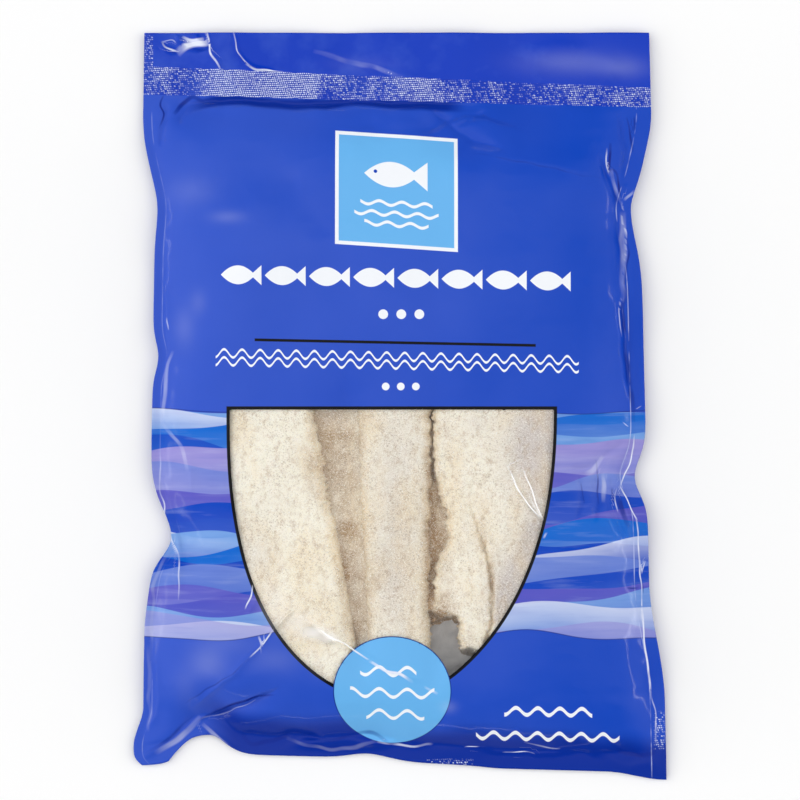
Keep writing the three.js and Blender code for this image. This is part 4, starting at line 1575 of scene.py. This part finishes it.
class PouchFilm(bpy.types.PropertyGroup):
    pitch: bpy.props.FloatProperty(
        name="Pitch", description="Size of a face of the front film", default=0.9 * MM, unit="LENGTH"
    )
    header_pitch: bpy.props.FloatProperty(
        name="Header pitch", description="Size of a face of the header", default=0.495 * MM, unit="LENGTH"
    )
    window_pitch: bpy.props.FloatProperty(
        name="Window pitch", description="Size of a face of the clear film", default=0.55 * MM, unit="LENGTH"
    )
    back_pitch: bpy.props.FloatProperty(
        name="Back pitch", description="Size of a face of the back film", default=2.4 * MM, unit="LENGTH"
    )
    seal_pitch: bpy.props.FloatProperty(
        name="Seal pitch", description="Size of a face of the pressed seal", default=0.3 * MM, unit="LENGTH"
    )
    knurl_height: bpy.props.FloatProperty(
        name="Knurl height", description="Height of the seal's points", default=0.16 * MM, unit="LENGTH"
    )
    ground: bpy.props.FloatVectorProperty(
        name="Ground", description="Main colour of the print", default=linear(9, 68, 188), subtype="COLOR"
    )
    # the colour of random clouding and of the sheen painted on the left of the print
    milky_sheen: bpy.props.FloatVectorProperty(
        name="Milky", description="Colour where it is milky", default=linear(50, 85, 198), subtype="COLOR"
    )
    # deep: the colour of the shade painted along the foot and under the top seal
    deep: bpy.props.FloatVectorProperty(
        name="Deep", description="Colour where it folds away", default=linear(0, 40, 148), subtype="COLOR"
    )
    sky: bpy.props.FloatVectorProperty(
        name="Sky", description="Colour of label and badge", default=linear(105, 180, 238), subtype="COLOR"
    )
    clear_roughness: bpy.props.FloatProperty(
        name="Clear roughness", description="Roughness of the clear film", default=0.06, subtype="FACTOR"
    )
    haze: bpy.props.FloatProperty(
        name="Haze", description="Share of light that the clear film mirrors", default=0.025, subtype="FACTOR"
    )


class PouchFish(bpy.types.PropertyGroup):
    pitch: bpy.props.FloatProperty(
        name="Pitch", description="Size of a face of a fillet", default=0.6 * MM, unit="LENGTH"
    )
    flesh: bpy.props.FloatVectorProperty(
        name="Flesh", description="Main colour of the flesh", default=linear(255, 249, 231), subtype="COLOR"
    )
    grey: bpy.props.FloatVectorProperty(
        name="Grey", description="Colour of its grey patches", default=linear(198, 188, 186), subtype="COLOR"
    )
    tan: bpy.props.FloatVectorProperty(
        name="Tan", description="Colour of its tanned threads", default=linear(238, 210, 158), subtype="COLOR"
    )
    # brown: brown flesh, and also the shade painted where the flesh lies deep
    brown: bpy.props.FloatVectorProperty(
        name="Brown", description="Colour of its deep sides", default=linear(172, 138, 96), subtype="COLOR"
    )
    grain: bpy.props.FloatProperty(
        name="Grain", description="Size of a grain of salt", default=0.65 * MM, unit="LENGTH"
    )
    grains: bpy.props.FloatProperty(
        name="Grains", description="Most grains on a square metre of fish", default=300000.0
    )
    seed: bpy.props.IntProperty(name="Seed", description="Seed of the salt's random places", default=7)


class PouchStage(bpy.types.PropertyGroup):
    floor: bpy.props.FloatVectorProperty(
        name="Floor", description="Colour of the floor", default=(0.98, 0.98, 0.98), subtype="COLOR"
    )
    floor_size: bpy.props.FloatProperty(
        name="Floor size", description="Width of the floor", default=6.0, unit="LENGTH"
    )
    overhead_light: bpy.props.FloatProperty(
        name="Overhead light", description="Light of the room from overhead", default=1.97
    )
    left_light: bpy.props.FloatProperty(
        name="Left light", description="What the room's light gains left of overhead", default=0.25
    )
    side_light: bpy.props.FloatProperty(
        name="Side light", description="What it gains again low on the left", default=0.2
    )
    lens: bpy.props.FloatProperty(
        name="Lens", description="Focal length of the camera", default=200.0, unit="CAMERA"
    )
    view_width: bpy.props.FloatProperty(
        name="View width", description="Width of the view at the seams", default=402.4 * MM, unit="LENGTH"
    )


# ---- Film pieces --------------------------------------------------------------------------------


def snapped_to_window(x, y, pitch):
    """Moves the grid's points that are nearest to the window's edge onto it."""
    step = 0.05
    distance = window_distance(x, y)
    slope_x = (window_distance(x + step, y) - window_distance(x - step, y)) / (2 * step)
    slope_y = (window_distance(x, y + step) - window_distance(x, y - step)) / (2 * step)
    size = np.maximum(slope_x**2 + slope_y**2, 0.25)
    near = np.abs(distance) < 0.5 * pitch
    return (
        np.where(near, x - distance * slope_x / size, x),
        np.where(near, y - distance * slope_y / size, y),
    )


def build_front(film):
    """The printed film below the top seal, with the window cut out of it."""
    pitch = film.pitch / MM
    x, y = pouch_grid(0, 1, pitch, pitch)
    x, y = snapped_to_window(x, y, pitch)
    rows, columns = x.shape
    points = stacked(x, y, film_height(x, y))
    faces = split_faces(grid_faces(rows, columns), np.abs(window_distance(x, y)).ravel())
    centre = points[faces].mean(1)
    clear = window_distance(centre[:, 0], centre[:, 1]) > 0
    skirted, rim = rim_skirt(points, rows, columns, ("bottom", "right", "left"))
    rim = np.vstack([rim[:, [0, 1, 2]], rim[:, [0, 2, 3]]])
    points, faces = used_only(skirted, np.vstack([faces[~clear], rim]))
    printed = new_object("printed_front", points, faces.tolist(), print_material(film))
    left, right, _, _ = inside_seams(points[:, 0], points[:, 1])
    # under: how much shade is painted along the foot and under the top seal
    under = painted_fold_shade(points[:, 0], points[:, 1])
    add_layers(printed, {"seam": np.minimum(left, right), "under": under})
    # the white lines are painted highlights, the dark lines painted shade
    add_lines(printed, points, white=HIGHLIGHT_LINES, dark=DARK_LINES)
    finished(printed, "printed_film", "pouch")


def build_window(film):
    """The clear film, which runs on a little under the print."""
    pitch = film.window_pitch / MM
    x, y = np.meshgrid(np.arange(*WINDOW_STRETCH[0], pitch), np.arange(*WINDOW_STRETCH[1], pitch))
    points = stacked(x, y, film_height(x, y) - WINDOW_INSET)
    faces = grid_faces(*x.shape)
    centre = points[faces].mean(1)
    points, faces = used_only(points, faces[window_distance(centre[:, 0], centre[:, 1]) > -WINDOW_LAP])
    made = new_object("window_film", points, faces.tolist(), clear_material(film))
    # the white lines and the glare are highlights painted on the clear film
    add_lines(made, points, white=HIGHLIGHT_LINES)
    finished(made, "clear_film")


def build_header(film, material):
    pitch = film.header_pitch / MM
    x, y = pouch_grid(2, 3, pitch, pitch)
    rows, columns = x.shape
    points = stacked(x, y, film_height(x, y))
    skirted, rim = rim_skirt(points, rows, columns, ("right", "top", "left"))
    faces = np.vstack([grid_faces(rows, columns), rim])
    made = new_object("header_film", skirted, faces.tolist(), material)
    # the white lines and the glare are highlights painted on the header
    add_lines(made, skirted, white=HIGHLIGHT_LINES)
    finished(made, "printed_film")


def build_seal(film, material):
    pitch = film.seal_pitch / MM
    x, y = pouch_grid(1, 2, pitch, pitch * 1.35)
    rows, columns = x.shape
    points = stacked(x, y, film_height(x, y))
    skirted, rim = rim_skirt(points, rows, columns, ("right", "left"))
    faces = np.vstack([grid_faces(rows, columns), rim])
    made = new_object("top_seal", skirted, faces.tolist(), material)
    edge = np.minimum(np.arange(rows), np.arange(rows)[::-1])[:, None] * pitch
    side = np.minimum(np.arange(columns), np.arange(columns)[::-1])[None, :] * pitch
    pressed = np.zeros(len(skirted))
    pressed[: rows * columns] = (np.clip(edge, 0, 1) * np.clip(side, 0, 1)).ravel()
    add_layers(made, {"pressed": pressed})
    knurled(made, material, KNURL, film.knurl_height / MM)
    finished(made, "printed_film")


def build_back(film, material):
    pitch = film.back_pitch / MM
    bands = [pouch_grid(low, low + 1, pitch, pitch) for low in range(3)]
    x = np.vstack([bands[0][0], *(band[0][1:] for band in bands[1:])])
    y = np.vstack([bands[0][1], *(band[1][1:] for band in bands[1:])])
    rows, columns = x.shape
    points = stacked(x, y, back_height(x, y))
    faces = grid_faces(rows, columns)[:, ::-1]
    finished(new_object("back_film", points, faces.tolist(), material), "printed_film")


def build_liner():
    """The inner face of the back film, as far as it can show between the fillets."""
    x, y = np.meshgrid(*(np.arange(*stretch, LINER_PITCH) for stretch in LINER_STRETCH))
    wrinkles = 0.5 * noise(x / 7, y / 11, 51) + 0.3 * (1 - 2 * np.abs(noise(x / 5, y / 4, 52)))
    points = stacked(x, y, POCKET_FLOOR - LINER_DEPTH + wrinkles)
    made = new_object("inner_film", points, grid_faces(*x.shape).tolist(), liner_material())
    finished(made, "printed_film")


# ---- Fillets ------------------------------------------------------------------------------------


def flesh_relief(x, y, seed):
    """Lumps and grains of the flesh, in millimetres."""
    lumps = 0.7 * noise(x / 13, y / 19, seed) + 0.35 * noise(x / 5, y / 7, seed + 1)
    fibres = 0.14 * noise((x + 0.06 * y) / 1.9, y / 5, seed + 2)
    grains = 0.13 * noise(x / 0.9, y / 0.9, seed + 3)
    return lumps + fibres + grains


def rounded(distance, spec):
    """How far an edge has fallen at a distance inside it, and its share of the way."""
    reach, drop = spec
    gone = 1 - np.clip(distance / reach, 0, 1)
    return drop * (1 - np.sqrt(1 - gone**2)), gone


def torn_sides(fillet, y, seed):
    """x of a fillet's left and right sides at each y, uneven where they are torn."""
    edges = []
    for number, key in enumerate(SIDES):
        side = fillet[key]
        torn = side["torn"]
        if "smooth_below" in side:
            torn = torn * smoothstep(y, side["smooth_below"] - SMOOTH_RUN, side["smooth_below"])
        ragged = sum(
            share * noise(y / length, 0 * y + 5 * number, seed + place)
            for place, (length, share) in enumerate(RAGGED_STEPS)
        )
        inwards = 1 - 2 * number
        edges.append((fillet_side(side, y) + inwards * (torn + 0.15) * (0.4 + 0.9 * ragged))[:, None])
    return edges


def opened_cleft(path, x, y):
    """How deep a cleft is at a place, and how torn the flesh is beside it."""
    wander = 0.9 * noise(x / 2.2, y / 2.4, 71) + 0.4 * noise(x, y, 72)
    off, share = beside_path(smooth_path(path), x + wander, y)
    split = np.exp(-((np.abs(off) / CLEFT_WIDTH) ** 1.5)) * smoothstep(share, 0.0, 0.5)
    torn = 0.8 * np.exp(-((off / CLEFT_TEAR) ** 2)) * smoothstep(share, 0.0, 0.3)
    return CLEFT_DEPTH * split, torn


def fillet_top(fillet, x, y, seed):
    """The level of a fillet's upper face, and how torn it is, between its sides."""
    falls, torn = [], np.zeros(x.shape)
    for key, inside in zip(SIDES, (x - x[:, :1], x[:, -1:] - x)):
        fallen, gone = rounded(inside, fillet[key]["round"])
        falls.append(fallen)
        torn = np.maximum(torn, gone * fillet[key]["torn"])
    falls.append(rounded(np.minimum(y - fillet["foot"], FILLET_HEAD - y), END_ROUND)[0])
    fall = np.maximum.reduce(falls)
    if "cleft" in fillet:
        opened, torn_open = opened_cleft(fillet["cleft"], x, y)
        fall = fall + opened
        torn = np.maximum(torn, torn_open)
    crumbs = 0.8 * noise(x / 1.8, y / 1.8, seed + 9) + 0.5 * noise(x / 0.9, y / 0.9, seed + 10)
    sink = lerp(*fillet["sink"], even_spread(x.shape[1]))
    buried = np.maximum(sink + fall - spots(fillet.get("lumps", []), x, y), 0.6)
    top = smooth_height(x, y) - buried - 0.75 + np.minimum(flesh_relief(x, y, seed) + crumbs * torn, 0.7)
    uneven = noise(x / 5, y / 6, seed + 14) + 0.4 * noise(x / 2.1, y / 2.4, seed + 15)
    from_foot = y - fillet["foot"] + fillet.get("ragged_foot", RAGGED_FOOT) * uneven
    top = lerp(SUNK, np.maximum(top, FLESH_FLOOR + 0.8), smoothstep(from_foot, 3, 9))
    return top, torn


def side_walls(fillet, y, x, top, seed):
    """x and z of a fillet's left and right walls, each from its foot up."""
    share = np.linspace(0, 1, WALL_STEPS)[:-1]
    bulge = 0.8 * np.sin(np.pi * share) - 1.2 * (1 - share)
    walls = []
    for number, (key, column) in enumerate(zip(SIDES, (slice(0, 1), slice(-1, None)))):
        edge_z = top[:, column]
        wall_z = lerp(np.minimum(FLESH_FLOOR, edge_z - 0.6), edge_z, share)
        craggy = noise(wall_z / 1.8, y[:, None] / 2.2 + 9 * number, seed + 12) * fillet[key]["torn"]
        outwards = 2 * number - 1
        walls.append((x[:, column] + outwards * (bulge + craggy * np.sin(np.pi * share)), wall_z))
    return walls


def even_spread(count):
    """Shares from 0 to 1, a little closer together at both ends."""
    even = np.linspace(0, 1, count)
    return lerp(0.5 - 0.5 * np.cos(np.pi * even), even, 0.6)


def fillet_section(fillet, y, count, seed):
    """One fillet's points across it at each y: up its left side, over its top and down again."""
    left, right = torn_sides(fillet, y, seed)
    x = lerp(left, right, even_spread(count))
    top, torn = fillet_top(fillet, x, np.broadcast_to(y[:, None], x.shape), seed)
    (left_x, left_z), (right_x, right_z) = side_walls(fillet, y, x, top, seed)
    all_x = np.hstack([left_x, x, right_x[:, ::-1]])
    all_z = np.hstack([left_z, top, right_z[:, ::-1]])
    all_y = np.broadcast_to(y[:, None], all_x.shape)
    depth = smooth_height(all_x, all_y) - 1.4 - all_z
    torn = np.hstack([np.ones_like(left_x), torn, np.ones_like(right_x)])
    return all_x, all_y, all_z, depth, torn


def closed_tube(rows, columns):
    """Faces of rows of points that each go round a closed section, with both ends filled."""
    index = np.arange(rows * columns).reshape(rows, columns)
    around = np.roll(index, -1, 1)
    sides = np.stack([index[:-1], around[:-1], around[1:], index[1:]], -1).reshape(-1, 4).tolist()
    return sides + [index[0, ::-1].tolist(), index[-1].tolist()]


def build_fillet(fillet, fish, material, seed):
    pitch = fish.pitch / MM
    y = np.linspace(fillet["foot"], FILLET_HEAD, int((FILLET_HEAD - fillet["foot"]) / pitch) + 1)
    width = float(np.max(fillet_side(fillet["right"], y) - fillet_side(fillet["left"], y)))
    count = max(int(width / pitch), 12)
    x, rows, z, depth, torn = fillet_section(fillet, y, count, seed)
    points = stacked(x, rows, z)
    made = new_object(fillet["name"] + "_flesh", points, closed_tube(*x.shape), material)
    salt = smoothstep(noise(x / 9, rows / 12, seed + 30), -0.2, 0.9) * np.exp(-np.clip(depth, 0, None) / 5)
    salt = np.clip(salt + 0.6 * torn, 0, 1)
    across = smoothstep((x - x[:, :1]) / width, 0.2, 0.8)
    grey = lerp(*fillet["grey"], across) * 0.7 + spots(GREYS, x, rows)
    # partly tan flesh, partly shade painted along edges and gaps and on the fillets below
    stain = lerp(*fillet["stain"], across) + spots(STAINS_AND_SHADE, x, rows)
    uneven = 0.5 * noise(x / 4, rows / 5, seed + 31) + 0.35 * noise(x / 1.7, rows / 2, seed + 32)
    stain = stain * (0.9 + uneven)
    add_layers(made, {"deep": depth, "torn": torn, "salt": salt, "grey": grey, "stain": stain})
    finished(made, "salted_fish", fillet["name"])


def build_salt(fish):
    """Grains of salt on the fillets, where they can be seen."""
    material = salt_material()
    for fillet in FILLETS:
        flesh = bpy.data.objects[fillet["name"] + "_flesh"]
        grains = bpy.data.objects.new("salt_on_" + fillet["name"], flesh.data.copy())
        bpy.context.scene.collection.objects.link(grains)
        scattered(grains, material, fish.grains, fish.grain / MM, fish.seed)
        finished(grains, "salted_fish")


# ---- The stage ----------------------------------------------------------------------------------

VIEW_CENTRE = (-0.13 * MM, 3.27 * MM)
SEAM_LEVEL = 5 * MM
FLOOR_LEVEL = -0.05
END_DARKNESS = 0.9  # how much of the room's light is gone beyond the pouch's foot and head
LAMPS = [
    {"name": "left_lamp", "place": (-2.2, -0.3, 0.22), "size": (2.8, 0.04), "power": 4},
    {"name": "head_lamp", "place": (-0.5, 2.2, 0.26), "size": (1.2, 0.04), "power": 3},
    {"name": "foot_lamp", "place": (-0.5, -2.2, 0.24), "size": (1.8, 0.04), "power": 2},
    {"name": "right_lamp", "place": (2.2, -0.2, 0.2), "size": (1.2, 0.04), "power": 3},
]


def light_room(world, stage):
    """The room's light by direction: brightest low on the left, and dark beyond the foot and head."""
    shader = Shader(world)
    split = shader.node("ShaderNodeSeparateXYZ", inputs={0: shader.node("ShaderNodeTexCoord")})
    x, y, _ = (Quantity(shader, socket) for socket in split.socket.node.outputs)
    glow = shader.ramp(-x, -0.2, 0.3)
    low_glow = shader.ramp(-x, 0.6, 0.9)
    footward = shader.ramp(-y, 0.2, 0.65)
    headward = shader.ramp(y, 0.25, 0.7)
    light = glow * stage.left_light + low_glow * stage.side_light + stage.overhead_light
    light = light * (1 - footward * END_DARKNESS) * (1 - headward * END_DARKNESS)
    background = shader.node("ShaderNodeBackground", inputs={"Strength": light})
    shader.node("ShaderNodeOutputWorld", inputs={"Surface": background})


def build_stage(stage):
    size = stage.floor_size / MM / 2
    corners = [(x * size, y * size, FLOOR_LEVEL) for x, y in ((-1, -1), (1, -1), (1, 1), (-1, 1))]
    floor = new_object("floor", corners, [(0, 1, 2, 3)], floor_material(stage), smooth=False)
    for lamp in LAMPS:
        light = bpy.data.lights.new(lamp["name"], "AREA")
        light.shape = "RECTANGLE"
        light.size, light.size_y = lamp["size"]
        light.energy = lamp["power"]
        made = bpy.data.objects.new(lamp["name"], light)
        made.location = lamp["place"]
        made.rotation_euler = Vector(lamp["place"]).to_track_quat("Z", "Y").to_euler()
        bpy.context.scene.collection.objects.link(made)
    bpy.context.scene.world = bpy.data.worlds.new("studio")
    light_room(bpy.context.scene.world, stage)
    bpy.context.scene.view_settings.view_transform = "Standard"
    camera = bpy.data.objects.new("camera", bpy.data.cameras.new("camera"))
    camera.data.lens = stage.lens
    height = stage.view_width * stage.lens / camera.data.sensor_width
    camera.location = (*VIEW_CENTRE, SEAM_LEVEL + height)
    camera.data.clip_end = 20
    bpy.context.scene.collection.objects.link(camera)
    bpy.context.scene.camera = camera


# ---- Operators, panel and registration ----------------------------------------------------------


class POUCH_OT_front(bpy.types.Operator):
    """Makes the printed front film"""

    bl_idname = "pouch.front"
    bl_label = "Front film"

    def execute(self, context):
        build_front(context.scene.pouch_film)
        return {"FINISHED"}


class POUCH_OT_window(bpy.types.Operator):
    """Makes the clear film of the window"""

    bl_idname = "pouch.window"
    bl_label = "Window film"

    def execute(self, context):
        build_window(context.scene.pouch_film)
        return {"FINISHED"}


class POUCH_OT_seals(bpy.types.Operator):
    """Makes the plain header, the pressed top seal and the back film"""

    bl_idname = "pouch.seals"
    bl_label = "Header, seal and back"

    def execute(self, context):
        film = context.scene.pouch_film
        plain = sealed_material(film, "sealed_film", pressed=False)
        build_header(film, plain)
        build_seal(film, sealed_material(film, "pressed_film", pressed=True))
        build_back(film, plain)
        return {"FINISHED"}


class POUCH_OT_liner(bpy.types.Operator):
    """Makes the inner film that shows between the fillets"""

    bl_idname = "pouch.liner"
    bl_label = "Inner film"

    def execute(self, context):
        build_liner()
        return {"FINISHED"}


class POUCH_OT_fillets(bpy.types.Operator):
    """Makes the salted fillets under the window"""

    bl_idname = "pouch.fillets"
    bl_label = "Fillets"

    def execute(self, context):
        fish = context.scene.pouch_fish
        material = fish_material(fish)
        for number, fillet in enumerate(FILLETS):
            build_fillet(fillet, fish, material, FIRST_SEED + SEED_STEP * number)
        return {"FINISHED"}


class POUCH_OT_salt(bpy.types.Operator):
    """Scatters grains of salt over the fillets"""

    bl_idname = "pouch.salt"
    bl_label = "Salt"

    def execute(self, context):
        build_salt(context.scene.pouch_fish)
        return {"FINISHED"}


class POUCH_OT_stage(bpy.types.Operator):
    """Makes the floor, the lamps and the camera"""

    bl_idname = "pouch.stage"
    bl_label = "Stage"

    def execute(self, context):
        build_stage(context.scene.pouch_stage)
        return {"FINISHED"}


class POUCH_PT_panel(bpy.types.Panel):
    """Lists the pouch's operators in the 3D view's sidebar"""

    bl_idname = "POUCH_PT_panel"
    bl_label = "Pouch"
    bl_space_type = "VIEW_3D"
    bl_region_type = "UI"
    bl_category = "Pouch"

    def draw(self, context):
        for operator in OPERATORS:
            self.layout.operator(operator.bl_idname)
        for group in (context.scene.pouch_film, context.scene.pouch_fish, context.scene.pouch_stage):
            for name in group.__annotations__:
                self.layout.prop(group, name)


OPERATORS = (
    POUCH_OT_stage,
    POUCH_OT_front,
    POUCH_OT_window,
    POUCH_OT_seals,
    POUCH_OT_liner,
    POUCH_OT_fillets,
    POUCH_OT_salt,
)
GROUPS = {"pouch_film": PouchFilm, "pouch_fish": PouchFish, "pouch_stage": PouchStage}


def register():
    for kind in (*GROUPS.values(), *OPERATORS, POUCH_PT_panel):
        bpy.utils.register_class(kind)
    for name, group in GROUPS.items():
        setattr(bpy.types.Scene, name, bpy.props.PointerProperty(type=group))


def unregister():
    for name in GROUPS:
        delattr(bpy.types.Scene, name)
    for kind in (POUCH_PT_panel, *reversed(OPERATORS), *reversed(GROUPS.values())):
        bpy.utils.unregister_class(kind)


def main():
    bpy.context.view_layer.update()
    register()
    bpy.ops.pouch.stage()
    bpy.ops.pouch.front()
    bpy.ops.pouch.window()
    bpy.ops.pouch.seals()
    bpy.ops.pouch.liner()
    bpy.ops.pouch.fillets()
    bpy.ops.pouch.salt()


if __name__ == "__main__":
    main()
